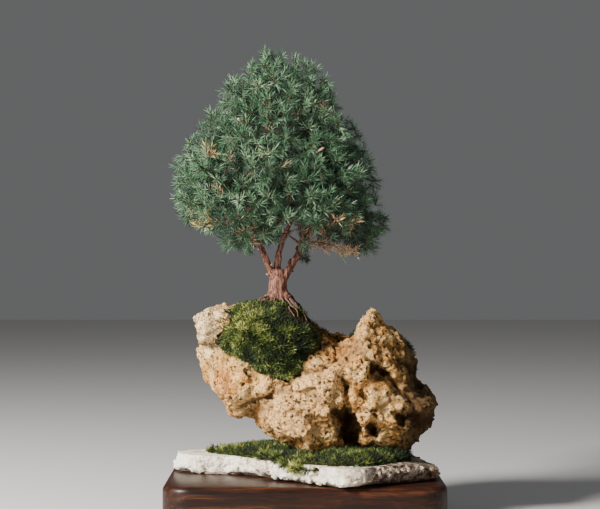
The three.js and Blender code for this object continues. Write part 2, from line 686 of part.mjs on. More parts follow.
const places = sprayPlaces();
places.forEach((place, i) => {
  place.name = `spray_${String(i + 1).padStart(2, '0')}`;
});
const wood = [rootsInSoil(0)];
for (const { points, radii } of LIMBS) wood.push(limb(points, radii, 5, points.length + 1));
for (const { points, radii } of BARE_TWIGS) wood.push(limb(points, radii, 3, 3));
for (const { points, radii } of [...LIMBS, ...BARE_TWIGS]) {
  takePath(new THREE.CatmullRomCurve3(points.map(vec)).getPoints(12), radii[1], 'trunk');
}
for (const place of places) settleSpray(place, place.name);
const starts = limbPoints();
for (const place of places) {
  const path = branchPath(place, starts, place.name);
  wood.push(limb(path, [BRANCH.radius, BRANCH.tipRadius], BRANCH.sides, BRANCH.steps));
  takePath(new THREE.CatmullRomCurve3(path.map(vec)).getPoints(6), BRANCH.radius, 'trunk');
}
addPiece('trunk', mainBody(joined(wood)), FINISHES.bark);
places.forEach((place, i) => addPiece(place.name, spray(place, place.name, 101 + i), FINISHES.needles));

export default bonsai;
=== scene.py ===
import math
import random

import bmesh
import bpy
import numpy as np
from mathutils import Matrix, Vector, noise
from mathutils.bvhtree import BVHTree
from mathutils.geometry import intersect_line_line
from mathutils.kdtree import KDTree


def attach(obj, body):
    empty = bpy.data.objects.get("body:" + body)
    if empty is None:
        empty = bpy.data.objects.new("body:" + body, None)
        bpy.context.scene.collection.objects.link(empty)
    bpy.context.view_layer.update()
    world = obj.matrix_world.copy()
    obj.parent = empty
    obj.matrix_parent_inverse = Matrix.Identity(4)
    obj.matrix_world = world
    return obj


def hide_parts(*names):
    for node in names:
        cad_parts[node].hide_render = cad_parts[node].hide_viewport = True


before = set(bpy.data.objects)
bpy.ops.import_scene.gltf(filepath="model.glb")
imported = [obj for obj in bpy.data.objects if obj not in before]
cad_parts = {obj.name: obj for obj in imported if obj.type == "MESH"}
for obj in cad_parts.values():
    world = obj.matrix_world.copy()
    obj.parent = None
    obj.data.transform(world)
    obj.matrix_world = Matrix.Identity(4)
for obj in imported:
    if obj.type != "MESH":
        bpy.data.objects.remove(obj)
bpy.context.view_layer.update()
mm = 0.001
print("frame loaded:", len(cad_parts), "nodes")


# Small helpers for node trees

def addNode(tree, kind, inputs=None, **settings):
    node = tree.nodes.new(kind)
    for name, value in settings.items():
        setattr(node, name, value)
    for key, value in (inputs or {}).items():
        plug(tree, value, node.inputs[key])
    return node


def plug(tree, value, socket):  # a socket is linked, anything else is set as the input's value
    if isinstance(value, bpy.types.NodeSocket):
        tree.links.new(value, socket)
    else:
        socket.default_value = value


def calc(tree, operation, *values, clamp=False):
    node = addNode(tree, "ShaderNodeMath", operation=operation, use_clamp=clamp)
    for value, socket in zip(values, node.inputs):
        plug(tree, value, socket)
    return node.outputs[0]


def calcVector(tree, operation, *values):
    node = addNode(tree, "ShaderNodeVectorMath", operation=operation)
    sockets = [node.inputs[0], node.inputs["Scale"]] if operation == "SCALE" else node.inputs
    for value, socket in zip(values, sockets):
        plug(tree, value, socket)
    return node.outputs[0]


def total(tree, *values):
    result = values[0]
    for value in values[1:]:
        result = calc(tree, "ADD", result, value)
    return result


def fromTo(tree, value, low, high, outLow=0.0, outHigh=1.0):  # eased between two values
    inputs = {"Value": value, "From Min": low, "From Max": high, "To Min": outLow, "To Max": outHigh}
    return addNode(tree, "ShaderNodeMapRange", inputs, interpolation_type="SMOOTHSTEP").outputs["Result"]


def scaleOf(tree, size):  # a texture's scale from the size of its features, a number or a socket
    return calc(tree, "DIVIDE", 1.0, size) if isinstance(size, bpy.types.NodeSocket) else 1 / size


def noiseAt(tree, place, size, detail=3.0, roughness=0.55):
    inputs = {"Vector": place, "Scale": scaleOf(tree, size), "Detail": detail, "Roughness": roughness}
    return addNode(tree, "ShaderNodeTexNoise", inputs).outputs["Fac"]


def cellsAt(tree, place, size, feature="F1"):
    inputs = {"Vector": place, "Scale": scaleOf(tree, size)}
    return addNode(tree, "ShaderNodeTexVoronoi", inputs, feature=feature)


def acrossOf(tree, vector):
    return addNode(tree, "ShaderNodeSeparateXYZ", {0: vector}).outputs[0]


def heightOf(tree, vector):
    return addNode(tree, "ShaderNodeSeparateXYZ", {0: vector}).outputs[2]


def heightOver(tree, vector, level):
    return calc(tree, "SUBTRACT", heightOf(tree, vector), level)


def chanceOf(tree, cells):  # a random number for each cell
    return acrossOf(tree, cells.outputs["Color"])


# 1 in the middles of a share of the cells, each falling to 0 at its reach
def hollows(tree, place, size, share, reach, steep):
    cells = cellsAt(tree, place, size)
    deep = fromTo(tree, cells.outputs["Distance"], reach * steep, reach, 1.0, 0.0)
    return calc(tree, "MULTIPLY", deep, calc(tree, "LESS_THAN", chanceOf(tree, cells), share))


def stirred(tree, place, size, amount):  # the place pushed about by noise, so that cells look uneven
    inputs = {"Vector": place, "Scale": scaleOf(tree, size)}
    push = addNode(tree, "ShaderNodeTexNoise", inputs).outputs["Color"]
    push = calcVector(tree, "SUBTRACT", push, (0.5, 0.5, 0.5))
    return calcVector(tree, "ADD", place, calcVector(tree, "SCALE", push, amount))


def named(tree, label, kind="FLOAT"):
    return addNode(tree, "GeometryNodeInputNamedAttribute", {"Name": label}, data_type=kind).outputs[0]


def store(tree, geometry, label, value, kind="FLOAT", domain="POINT"):
    node = addNode(tree, "GeometryNodeStoreNamedAttribute", {"Geometry": geometry, "Name": label},
                   data_type=kind, domain=domain)
    plug(tree, value, node.inputs["Value"])
    return node.outputs[0]


def randomBetween(tree, low, high, seed, step):
    inputs = {"Seed": calc(tree, "ADD", seed, step)}
    node = addNode(tree, "FunctionNodeRandomValue", inputs, data_type="FLOAT")
    sockets = [s for s in node.inputs if s.enabled]
    for value, socket in zip((low, high), sockets):
        plug(tree, value, socket)
    return [s for s in node.outputs if s.enabled][0]


socketKinds = {
    float: "NodeSocketFloat", int: "NodeSocketInt", bool: "NodeSocketBool",
    bpy.types.Object: "NodeSocketObject", bpy.types.Material: "NodeSocketMaterial",
}


def newTree(name, inputs):  # inputs: label and the kind of value it takes
    tree = bpy.data.node_groups.new(name, "GeometryNodeTree")
    tree.interface.new_socket("Geometry", in_out="INPUT", socket_type="NodeSocketGeometry")
    for label, kind in inputs.items():
        tree.interface.new_socket(label, in_out="INPUT", socket_type=socketKinds[kind])
    tree.interface.new_socket("Geometry", in_out="OUTPUT", socket_type="NodeSocketGeometry")
    return tree, tree.nodes.new("NodeGroupInput").outputs, tree.nodes.new("NodeGroupOutput").inputs


def linked(name, data):
    piece = bpy.data.objects.new(name, data)
    bpy.context.scene.collection.objects.link(piece)
    return piece


def addValues(mesh, label, values):  # a number for each vertex
    attribute = mesh.attributes.new(label, "FLOAT", "POINT")
    attribute.data.foreach_set("value", values)


def settled(piece):  # the evaluated object as a plain mesh, in place of the modifiers
    bpy.context.view_layer.update()
    depsgraph = bpy.context.evaluated_depsgraph_get()
    mesh = bpy.data.meshes.new_from_object(piece.evaluated_get(depsgraph), preserve_all_data_layers=True,
                                           depsgraph=depsgraph)
    piece.modifiers.clear()
    piece.data = mesh
    return piece


def grownBy(piece, tree, settings):  # runs a node tree on the piece with these named inputs
    modifier = piece.modifiers.new(tree.name, "NODES")
    modifier.node_group = tree
    for item in tree.interface.items_tree:
        if item.in_out == "INPUT" and item.name in settings:
            modifier[item.identifier] = settings[item.name]
    return settled(piece)


def mergedCopy(node, name):  # a CAD node's mesh is loose triangles, so a copy of it is merged
    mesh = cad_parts[node].data.copy()
    mesh.materials.clear()
    shape = bmesh.new()
    shape.from_mesh(mesh)
    bmesh.ops.remove_doubles(shape, verts=shape.verts, dist=1e-6)
    shape.to_mesh(mesh)
    shape.free()
    return linked(name, mesh)


def remeshed(piece, voxel, smoothing):
    remesh = piece.modifiers.new("remesh", "REMESH")
    remesh.mode = "VOXEL"
    remesh.voxel_size = voxel
    if smoothing:
        smooth = piece.modifiers.new("smooth", "SMOOTH")
        smooth.iterations = smoothing
        smooth.factor = 0.5
    return settled(piece)


def surfaceOf(*pieces):  # one search tree over the meshes of these objects
    points, faces = [], []
    for piece in pieces:
        first = len(points)
        points += [v.co.copy() for v in piece.data.vertices]
        faces += [[first + n for n in p.vertices] for p in piece.data.polygons]
    return BVHTree.FromPolygons(points, faces)


def dressed(piece, node):  # the piece rides with the body and stands for its CAD node
    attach(piece, "root")
    if node:
        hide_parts(node)
    print(piece.name, len(piece.data.polygons), "faces")


# Materials

def newMaterial(name, roughness, specular=0.5):
    material = bpy.data.materials.new(name)
    material.use_nodes = True
    tree = material.node_tree
    shader = tree.nodes["Principled BSDF"]
    shader.inputs["Roughness"].default_value = roughness
    shader.inputs["Specular IOR Level"].default_value = specular
    return material, tree, shader


def ramp(tree, value, stops):  # stops: position and linear colour
    node = addNode(tree, "ShaderNodeValToRGB", {"Fac": value})
    elements = node.color_ramp.elements
    while len(elements) < len(stops):
        elements.new(0.5)
    for element, (position, colour) in zip(elements, stops):
        element.position = position
        element.color = (*colour, 1)
    return node.outputs["Color"]


# each of the two is a colour or a socket, and the share can be held down to a part of itself
def mixed(tree, share, first, second, part=None):
    share = share if part is None else calc(tree, "MULTIPLY", share, part)
    first = (*first, 1) if isinstance(first, tuple) else first
    second = (*second, 1) if isinstance(second, tuple) else second
    return addNode(tree, "ShaderNodeMix", {0: share, 6: first, 7: second}, data_type="RGBA").outputs[2]


def attributeOf(tree, label):
    return addNode(tree, "ShaderNodeAttribute", attribute_name=label).outputs["Fac"]


def objectPlace(tree):
    return addNode(tree, "ShaderNodeTexCoord").outputs["Object"]


def bumped(tree, shader, height, distance):
    bump = addNode(tree, "ShaderNodeBump", {"Height": height, "Distance": distance, "Strength": 1.0})
    tree.links.new(bump.outputs["Normal"], shader.inputs["Normal"])


def painted(tree, shader, colour):
    tree.links.new(colour, shader.inputs["Base Color"])


def sphereMask(tree, place, centre, radius, soft):
    away = calcVector(tree, "SUBTRACT", place, tuple(centre))
    length = addNode(tree, "ShaderNodeVectorMath", {0: away}, operation="LENGTH").outputs["Value"]
    return fromTo(tree, length, radius, radius + soft, 1.0, 0.0)


# Needles and moss leaves: each is a folded blade with four faces, pointed at both ends, a unit long

# where a blade lies on the bake's map: first column, how far the columns spread with its tone, half its width
bladeMap = {"first": 0.06, "spread": 0.9, "half": 0.004}


def bladeMesh(name, shape):
    points = [(0, 0, 0), (-shape["half"], shape["fold"], shape["widest"]),
              (shape["half"], shape["fold"], shape["widest"]), (0, 0, 1)]
    mesh = bpy.data.meshes.new(name)
    mesh.from_pydata(points, [], [(0, 1, 2), (1, 3, 2), (0, 3, 1), (0, 2, 3)])
    addValues(mesh, "along", [point[2] for point in points])
    addValues(mesh, "across", [0, -1, 1, 0])
    return linked(name, mesh)


def mappedByColour(tree, blades):  # each blade lies on the bake's map by its own colour, a sliver wide
    column = calc(tree, "MULTIPLY", named(tree, "shade"), bladeMap["spread"])
    column = calc(tree, "ADD", column, bladeMap["first"])
    column = calc(tree, "ADD", column, calc(tree, "MULTIPLY", named(tree, "across"), bladeMap["half"]))
    spot = addNode(tree, "ShaderNodeCombineXYZ", {"X": column, "Y": named(tree, "along")}).outputs[0]
    return store(tree, blades, "OFBake", spot, kind="FLOAT2", domain="CORNER")


def finished(tree, geometry, finish):
    return addNode(tree, "GeometryNodeSetMaterial", {"Geometry": geometry, "Material": finish}).outputs[0]


def joined(tree, *parts):
    node = addNode(tree, "GeometryNodeJoinGeometry")
    for part in parts:
        tree.links.new(part, node.inputs[0])
    return node.outputs[0]


def spunAndTipped(tree, facing, roll, lean):  # turned about its own length, then tipped over
    for axis, angle in (((0, 0, 1), roll), ((-1, 0, 0), lean)):
        turn = addNode(tree, "FunctionNodeAxisAngleToRotation", {"Axis": axis, "Angle": angle}).outputs[0]
        facing = addNode(tree, "FunctionNodeRotateRotation", {"Rotation": facing, "Rotate By": turn},
                         rotation_space="LOCAL").outputs[0]
    return facing


def bladesOn(tree, points, blade, facing, length, tone):  # real blades on the points, with their tones
    blade = addNode(tree, "GeometryNodeObjectInfo", {"Object": blade}).outputs["Geometry"]
    blades = addNode(tree, "GeometryNodeInstanceOnPoints", {
        "Points": points, "Instance": blade, "Rotation": facing, "Scale": length}).outputs[0]
    blades = store(tree, blades, "shade", tone, domain="INSTANCE")
    blades = addNode(tree, "GeometryNodeRealizeInstances", {"Geometry": blades}).outputs[0]
    return mappedByColour(tree, blades)


def lengthAround(tree, length, spread, seed, step):  # the length, longer or shorter by up to a share of it
    low = calc(tree, "SUBTRACT", 1.0, spread)
    high = calc(tree, "ADD", 1.0, spread)
    return calc(tree, "MULTIPLY", length, randomBetween(tree, low, high, seed, step))


# how unevenly the needles stand: about the stem, in their lean and in their tone, and where the tip begins
whorls = {"roll": 0.35, "lean": 0.3, "tone": 0.07, "tipFrom": 0.7}


def needleSprayTree():
    tree, given, out = newTree("needle spray", {
        "Needle": bpy.types.Object, "Spacing": float, "Needles In A Whorl": int, "Needle Length": float,
        "Length Spread": float, "Lean": float, "Tip Lean": float, "Stem Sides": int, "Seed": int,
        "Needle Finish": bpy.types.Material, "Stem Finish": bpy.types.Material})
    seed = given["Seed"]
    lines = addNode(tree, "GeometryNodeMeshToCurve", {"Mesh": given["Geometry"]}).outputs[0]
    factor = addNode(tree, "GeometryNodeSplineParameter").outputs["Factor"]
    lines = store(tree, lines, "along", factor)
    # stems: a thin tapering tube on every line
    profile = addNode(tree, "GeometryNodeCurvePrimitiveCircle",
                      {"Resolution": given["Stem Sides"], "Radius": 1.0}).outputs[0]
    stems = addNode(tree, "GeometryNodeCurveToMesh", {
        "Curve": lines, "Profile Curve": profile, "Scale": named(tree, "stem"), "Fill Caps": True}).outputs[0]
    stems = finished(tree, stems, given["Stem Finish"])
    # stations along the lines, each with a whorl of needles
    even = addNode(tree, "GeometryNodeResampleCurve", {"Curve": lines, "Length": given["Spacing"]},
                   mode="LENGTH")
    factor = addNode(tree, "GeometryNodeSplineParameter").outputs["Factor"]
    even = store(tree, even.outputs[0], "reached", factor)
    stations = addNode(tree, "GeometryNodeCurveToPoints", {"Curve": even}, mode="EVALUATED")
    points = store(tree, stations.outputs["Points"], "heading", stations.outputs["Tangent"],
                   kind="FLOAT_VECTOR")
    points = store(tree, points, "roll", randomBetween(tree, 0.0, math.tau, seed, 1))
    bare = calc(tree, "LESS_THAN", named(tree, "reached"), named(tree, "leafyFrom"))
    points = addNode(tree, "GeometryNodeDeleteGeometry", {"Geometry": points, "Selection": bare},
                     domain="POINT").outputs[0]
    copies = addNode(tree, "GeometryNodeDuplicateElements",
                     {"Geometry": points, "Amount": given["Needles In A Whorl"]}, domain="POINT")
    around = calc(tree, "DIVIDE", math.tau, given["Needles In A Whorl"])
    roll = calc(tree, "MULTIPLY", copies.outputs["Duplicate Index"], around)
    swing = randomBetween(tree, -whorls["roll"], whorls["roll"], seed, 2)
    roll = total(tree, roll, named(tree, "roll"), swing)
    nearTip = fromTo(tree, named(tree, "reached"), whorls["tipFrom"], 1.0)
    lean = calc(tree, "ADD", calc(tree, "MULTIPLY", calc(tree, "SUBTRACT", 1.0, nearTip), given["Lean"]),
                calc(tree, "MULTIPLY", nearTip, given["Tip Lean"]))
    lean = lengthAround(tree, lean, whorls["lean"], seed, 3)
    facing = addNode(tree, "FunctionNodeAlignRotationToVector",
                     {"Vector": named(tree, "heading", "FLOAT_VECTOR")}, axis="Z").outputs[0]
    facing = spunAndTipped(tree, facing, roll, lean)
    length = lengthAround(tree, given["Needle Length"], given["Length Spread"], seed, 4)
    tone = calc(tree, "ADD", named(tree, "tone"),
                randomBetween(tree, -whorls["tone"], whorls["tone"], seed, 5))
    needles = bladesOn(tree, copies.outputs["Geometry"], given["Needle"], facing, length,
                       calc(tree, "MAXIMUM", tone, 0.0))
    needles = finished(tree, needles, given["Needle Finish"])
    tree.links.new(joined(tree, needles, stems), out["Geometry"])
    return tree


# Foliage. The shoots of each spray are read off its CAD solid, twigs are added along them,
# and more twigs grow towards the places in the crown's outer shell that no shoot has reached.

foliage = {
    "seed": 5, "spacing": 2.0 * mm, "whorl": 3, "needleLength": 9.2 * mm, "lengthSpread": 0.2,
    "lean": math.radians(50), "tipLean": math.radians(24), "stemSides": 3,
    "blade": {"half": 0.053, "fold": 0.042, "widest": 0.30},  # shares of the needle's length
    "tipRoom": 4.5 * mm,  # a twig ends this far short of the solid's point, and its needles fill the rest
    "leaderRadius": 1.3 * mm, "leaderBareTo": 0.3, "leaderSag": 7 * mm, "leaderSteps": 6,
    "shootRadius": 0.8 * mm, "shootBareTo": 0.12, "shootTwigsFrom": 0.15, "shootCurl": 4 * mm,
    "shootSteps": 4, "shootOff": 9 * mm,  # a shoot whose line misses the leader's by more starts at its foot
    "twigRadius": 0.45 * mm, "tipRadius": 0.2 * mm, "twigEvery": 5.2 * mm, "twigLength": (17 * mm, 10 * mm),
    "twigLean": math.radians(48), "twigLeans": (0.75, 1.2), "twigLengths": (0.8, 1.15), "twigRise": -0.12,
    "twigSteps": 2,
}
goldenAngle = math.radians(137.5)
# a point of a spray's solid is at least this long, and its foot at most this wide
spike = {"length": 4.5 * mm, "foot": 6.5 * mm}
# a twig's tone, 0 dark to 1 withered: patches of noise, painted shade that darkens it inside the
# crown and low down, and a rare dry one
needleTone = {
    "middle": 0.42, "swing": 0.40, "size": 26 * mm, "spread": 0.13, "range": (0.03, 0.68),
    "innerPaintedShade": 0.40, "innerFrom": 9, "innerOver": 26, "lowPaintedShade": 0.16, "lowFrom": 385, "lowOver": 45,
    "rare": 0.012, "rareTones": (0.9, 1.0), "wornSpread": 0.03,
}
# the crown's form: each row is a height with its reach to the left and the right of the axis
crown = {
    "axis": (-32, 2), "depth": 0.86,
    "reach": [(310, 20, 100), (320, 52, 122), (330, 70, 131), (339, 79, 133), (346, 94, 131),
              (354, 113, 128), (372, 122, 121), (396, 127, 118), (420, 121, 116), (440, 108, 104),
              (464, 92, 88), (486, 79, 79), (508, 67, 68), (522, 56, 60), (536, 43, 52),
              (550, 31, 37), (562, 17, 11)],
    "overhang": 4, "formedFrom": 345,  # above this height nothing stands out by more than the overhang
    "topFrom": 549, "topShare": 0.75,  # the topmost shoots are drawn down to this share of their height above
}
filling = {
    "inside": 2, "lobes": 0.15, "lobeSize": 30, "uneven": 0.35, "core": 390, "rise": 0.1,
    "roots": 6,  # so many of the nearest points are tried as a twig's root
    "rootEvery": 4 * mm,
    "outward": 9,  # a root this many millimetres further off is preferred if the twig then points outward
    # from the outer shell to the core: the places' spacing and depths, and how far they may be from a shoot
    "passes": [{"grid": 10.6, "from": 0, "to": 54, "near": 7.6, "far": 19, "rounds": 4},
               {"grid": 16, "from": 50, "to": 110, "near": 11, "far": 30, "rounds": 3}],
    # gaps under the crown, and the notch in its top: ranges along X, Y and Z
    "open": [((-30, -3), (-200, 200), (290, 354)), ((3, 17), (-200, 200), (290, 341)),
             ((-62, -28), (-200, 200), (290, 327)), ((16, 46), (-200, 200), (290, 327)),
             ((40, 130), (-200, 200), (290, 315)), ((0, 56), (-200, 6), (290, 334)),
             ((-24, -13), (-200, 200), (538, 570))],
}
# where needles have died or yellowed: centre, radius, tone of the needles, share of the twigs there
worn = [
    {"at": (-112, -60, 426), "radius": 12, "tone": 0.93, "share": 0.45},
    {"at": (-84, -80, 430), "radius": 10, "tone": 0.98, "share": 0.5},
    {"at": (-22, -75, 492), "radius": 10, "tone": 0.96, "share": 0.45},
    {"at": (-70, -70, 475), "radius": 8, "tone": 0.99, "share": 0.5},
    {"at": (-40, -95, 440), "radius": 8, "tone": 0.98, "share": 0.4},
    {"at": (32, -85, 372), "radius": 12, "tone": 0.93, "share": 0.4},
    {"at": (-122, -20, 356), "radius": 20, "tone": 0.83, "share": 0.45},
    {"at": (-60, -60, 336), "radius": 13, "tone": 0.94, "share": 0.35},
    {"at": (22, -30, 346), "radius": 20, "tone": 0.95, "share": 0.5},
    {"at": (36, -80, 352), "radius": 12, "tone": 0.92, "share": 0.4},
]
# a branch with withered needles and a green sprig that hangs from it, low on the right
lowTwigs = {
    "withered": [(-2, -5, 328), (14, -16, 328), (30, -26, 325), (46, -34, 321), (60, -38, 316)],
    "radius": 1.5 * mm, "tone": 0.94, "toneSpread": (-0.06, 0.05),
    "sideLength": 8 * mm, "sideFrom": 0.05, "sideRounds": 2, "needleLength": 7 * mm, "seed": 3,
    "hanging": [(42, -32, 321), (45, -36, 312), (46, -38, 305)], "hangingTone": 0.42, "hangingBareTo": 0.1,
}
needleTones = [
    (0.0, (0.008, 0.026, 0.012)), (0.25, (0.036, 0.096, 0.048)), (0.5, (0.106, 0.222, 0.116)),
    (0.70, (0.26, 0.39, 0.235)), (0.77, (0.42, 0.46, 0.17)), (0.85, (0.52, 0.42, 0.16)),
    (0.91, (0.56, 0.33, 0.18)), (1.0, (0.24, 0.13, 0.08)),
]
needleRoot, needlePoint = (0.030, 0.040, 0.022), (0.20, 0.23, 0.14)
twigTones = [(0.3, (0.085, 0.042, 0.024)), (0.7, (0.21, 0.125, 0.072))]
twigGreen = (0.07, 0.11, 0.055)


def needleFinish():
    material, tree, shader = newMaterial("glaucous needles", 0.46, 0.42)
    along = attributeOf(tree, "along")
    colour = ramp(tree, attributeOf(tree, "shade"), needleTones)
    colour = mixed(tree, fromTo(tree, along, 0.0, 0.45, 0.62, 0.0), colour, needleRoot)
    colour = mixed(tree, fromTo(tree, along, 0.75, 1.0, 0.0, 0.4), colour, needlePoint)
    painted(tree, shader, colour)
    return material


def twigFinish():
    material, tree, shader = newMaterial("young twigs", 0.7)
    place = objectPlace(tree)
    patchy = noiseAt(tree, place, 3 * mm)
    colour = ramp(tree, patchy, twigTones)
    green = fromTo(tree, attributeOf(tree, "along"), 0.5, 1.0, 0.0, 0.8)
    painted(tree, shader, mixed(tree, green, colour, twigGreen))
    return material


# the points of a spray's solid: the middle of the foot, the tip and the number of sides of each
def spikesOf(piece):
    shape = bmesh.new()
    shape.from_mesh(piece.data)
    spikes = []
    for point in shape.verts:
        feet = [edge.other_vert(point).co for edge in point.link_edges]
        nearest = min((foot - point.co).length for foot in feet)
        spread = max((a - b).length for a in feet for b in feet)
        if len(feet) in (3, 4) and nearest > spike["length"] and spread < spike["foot"]:
            spikes.append((sum(feet, Vector()) / len(feet), point.co.copy(), len(feet)))
    shape.free()
    return spikes


def bowed(root, tip, steps, sag):  # a line that hangs or rises by sag times s squared minus s
    line = []
    for i in range(steps + 1):
        share = i / steps
        line.append(root.lerp(tip, share) + Vector((0, 0, sag * (share * share - share))))
    return line


def within(value, low, high):
    return min(max(value, low), high)


def toneAt(place, rng):
    look = needleTone
    tone = look["middle"] + look["swing"] * noise.noise(place / look["size"])
    tone += rng.uniform(-look["spread"], look["spread"])
    # painted shade: twigs deep inside the crown and low down are darkened
    tone -= look["innerPaintedShade"] * within((crownDepth(place) - look["innerFrom"]) / look["innerOver"], 0, 1)
    tone -= look["lowPaintedShade"] * within((look["lowFrom"] - place.z / mm) / look["lowOver"], 0, 1)
    tone = within(tone, *look["range"])
    for patch in worn:
        isNear = (place - Vector(patch["at"]) * mm).length < patch["radius"] * mm
        if isNear and rng.random() < patch["share"]:
            tone = patch["tone"] + rng.uniform(-look["wornSpread"], look["wornSpread"])
    if rng.random() < look["rare"]:
        tone = rng.uniform(*look["rareTones"])
    return tone


def lineFor(points, radius, leafyFrom, rng):
    tone = toneAt(points[len(points) // 2], rng)
    return {"points": points, "radius": radius, "leafyFrom": leafyFrom, "tone": tone}


def twigsAlong(line, rng, lengths, leafyFrom):  # side twigs round a shoot, turning by the golden angle
    twigs = []
    turn = rng.uniform(0, math.tau)
    reach = (line[-1] - line[0]).length
    count = int(reach * (1 - leafyFrom) / foliage["twigEvery"])
    for i in range(count):
        share = leafyFrom + (1 - leafyFrom) * (i + 0.5) / count
        root = line[0].lerp(line[-1], share)
        along = (line[-1] - line[0]).normalized()
        across = along.orthogonal().normalized()
        turn += goldenAngle
        out = math.cos(turn) * across + math.sin(turn) * along.cross(across)
        lean = foliage["twigLean"] * rng.uniform(*foliage["twigLeans"])
        heading = math.cos(lean) * along + math.sin(lean) * out
        length = (lengths[0] + (lengths[1] - lengths[0]) * share) * rng.uniform(*foliage["twigLengths"])
        sag = foliage["twigRise"] * length
        twigs.append(bowed(root, root + heading * length, foliage["twigSteps"], sag))
    return twigs


def shortened(root, tip):
    return tip - (tip - root).normalized() * foliage["tipRoom"]


# every line of a spray, read off its solid: three-sided points are shoots and four-sided ones are twigs
def shootsOf(solid, branches, rng):
    spikes = spikesOf(solid)
    base = min((branches.find_nearest(v.co) for v in solid.data.vertices), key=lambda hit: hit[3])[0]
    shootTips = [tip for foot, tip, sides in spikes if sides == 3]
    leaderTip = max(shootTips, key=lambda tip: (tip - base).length)
    leaderLine = bowed(base, shortened(base, leaderTip), foliage["leaderSteps"], foliage["leaderSag"])
    lines = [lineFor(leaderLine, foliage["leaderRadius"], foliage["leaderBareTo"], rng)]
    shoots = [(leaderLine, foliage["leaderBareTo"])]
    for foot, tip, sides in spikes:
        if sides == 4:
            line = bowed(foot, shortened(foot, tip), foliage["twigSteps"], 0)
            lines.append(lineFor(line, foliage["twigRadius"], 0.0, rng))
        elif tip is not leaderTip:
            meeting = intersect_line_line(foot, tip, base, leaderTip)
            isNear = meeting is not None and (meeting[1] - foot).length < foliage["shootOff"]
            root = meeting[1] if isNear else foot
            line = bowed(root, shortened(root, tip), foliage["shootSteps"], foliage["shootCurl"])
            lines.append(lineFor(line, foliage["shootRadius"], foliage["shootBareTo"], rng))
            shoots.append((line, foliage["shootTwigsFrom"]))
    for line, leafyFrom in shoots:
        for twig in twigsAlong(line, rng, foliage["twigLength"], leafyFrom):
            lines.append(lineFor(twig, foliage["twigRadius"], 0.0, rng))
    return lines


def crownReach(height, angle):  # from the crown's axis to its surface, at a height and a direction
    rows = crown["reach"]
    low, high = next(((a, b) for a, b in reversed(list(zip(rows, rows[1:]))) if height >= a[0]), rows[:2])
    share = within((height - low[0]) / (high[0] - low[0]), 0, 1)
    left, right = (low[n] + (high[n] - low[n]) * share for n in (1, 2))
    side = right if math.cos(angle) > 0 else left
    return 1 / math.hypot(math.cos(angle) / side, math.sin(angle) / ((left + right) / 2 * crown["depth"]))


def isOpen(place):  # in one of the gaps where the limbs or the sky are seen
    return any(all(low < value / mm < high for value, (low, high) in zip(place, zone))
               for zone in filling["open"])


def crownDepth(place):  # millimetres inside the crown's surface, measured level
    x, y = place.x / mm - crown["axis"][0], place.y / mm - crown["axis"][1]
    return crownReach(place.z / mm, math.atan2(y, x)) - math.hypot(x, y)


def formed(line):  # keeps a line's points inside the crown's form
    for point in line["points"]:
        point.z -= (1 - crown["topShare"]) * max(0, point.z - crown["topFrom"] * mm)
        outside = -crownDepth(point) - crown["overhang"]
        if outside > 0 and point.z > crown["formedFrom"] * mm:
            out = Vector((point.x / mm - crown["axis"][0], point.y / mm - crown["axis"][1], 0))
            point -= out.normalized() * outside * mm


# an uneven grid of places between two depths in the crown, the outermost first
def placesWithin(settings, rng):
    heights = [row[0] for row in crown["reach"]]
    widest = max(max(row[1:]) for row in crown["reach"])
    step = settings["grid"]
    swing = filling["uneven"]
    count = int(widest / step) + 1
    found = []
    for level in range(int((heights[-1] - heights[0]) / step) + 1):
        for i in range(-count, count + 1):
            for j in range(-count, count + 1):
                x, y, z = (n * step + rng.uniform(-swing, swing) * step for n in (i, j, level))
                place = Vector((x + crown["axis"][0], y + crown["axis"][1], z + heights[0])) * mm
                lobe = filling["lobes"] * noise.noise(place / mm / filling["lobeSize"])
                depth = crownDepth(place) - filling["inside"] + lobe * math.hypot(x, y)
                isWanted = settings["from"] < depth < settings["to"] and place.z < heights[-1] * mm
                if isWanted and not isOpen(place):
                    found.append((depth, place))
    return [place for depth, place in sorted(found, key=lambda item: item[0])]


def linePoints(sprays):  # a search tree over points on every line, with the spray and the place of each
    found = []
    for number, lines in enumerate(sprays):
        for line in lines:
            for a, b in zip(line["points"], line["points"][1:]):
                parts = max(1, round((b - a).length / filling["rootEvery"]))
                found += [(a.lerp(b, (n + 1) / parts), number) for n in range(parts)]
    tree = KDTree(len(found))
    for i, (point, number) in enumerate(found):
        tree.insert(point, i)
    tree.balance()
    return tree, [number for point, number in found]


def rootCost(hit, place):  # its distance from the place, less if the twig then points outward
    outward = (place - Vector((*crown["axis"], filling["core"])) * mm).normalized()
    return hit[2] - filling["outward"] * mm * outward.dot((place - hit[0]).normalized())


def fill(sprays, settings, rng):  # grows a twig towards each place that the lines leave empty
    wanted = placesWithin(settings, rng)
    for _ in range(settings["rounds"]):
        tree, owners = linePoints(sprays)
        later = []
        for place in wanted:
            hits = tree.find_n(place, filling["roots"])
            if hits[0][2] < settings["near"] * mm:
                continue
            if hits[0][2] > settings["far"] * mm:
                later.append(place)
                continue
            root, index, distance = min(hits, key=lambda hit: rootCost(hit, place))
            twig = bowed(root, place, foliage["twigSteps"], filling["rise"] * distance)
            sprays[owners[index]].append(lineFor(twig, foliage["twigRadius"], 0.0, rng))
        wanted = later


def linesMesh(name, lines):  # edges along the lines, with what the needle tree needs to know at each point
    points, edges, stems, leafy, tones = [], [], [], [], []
    for line in lines:
        first, last = len(points), len(line["points"]) - 1
        for i, point in enumerate(line["points"]):
            points.append(point)
            stems.append(line["radius"] + (foliage["tipRadius"] - line["radius"]) * i / last)
            leafy.append(line["leafyFrom"])
            tones.append(line["tone"])
        edges += [(first + i, first + i + 1) for i in range(last)]
    mesh = bpy.data.meshes.new(name)
    mesh.from_pydata(points, edges, [])
    for label, values in (("stem", stems), ("leafyFrom", leafy), ("tone", tones)):
        addValues(mesh, label, values)
    return mesh


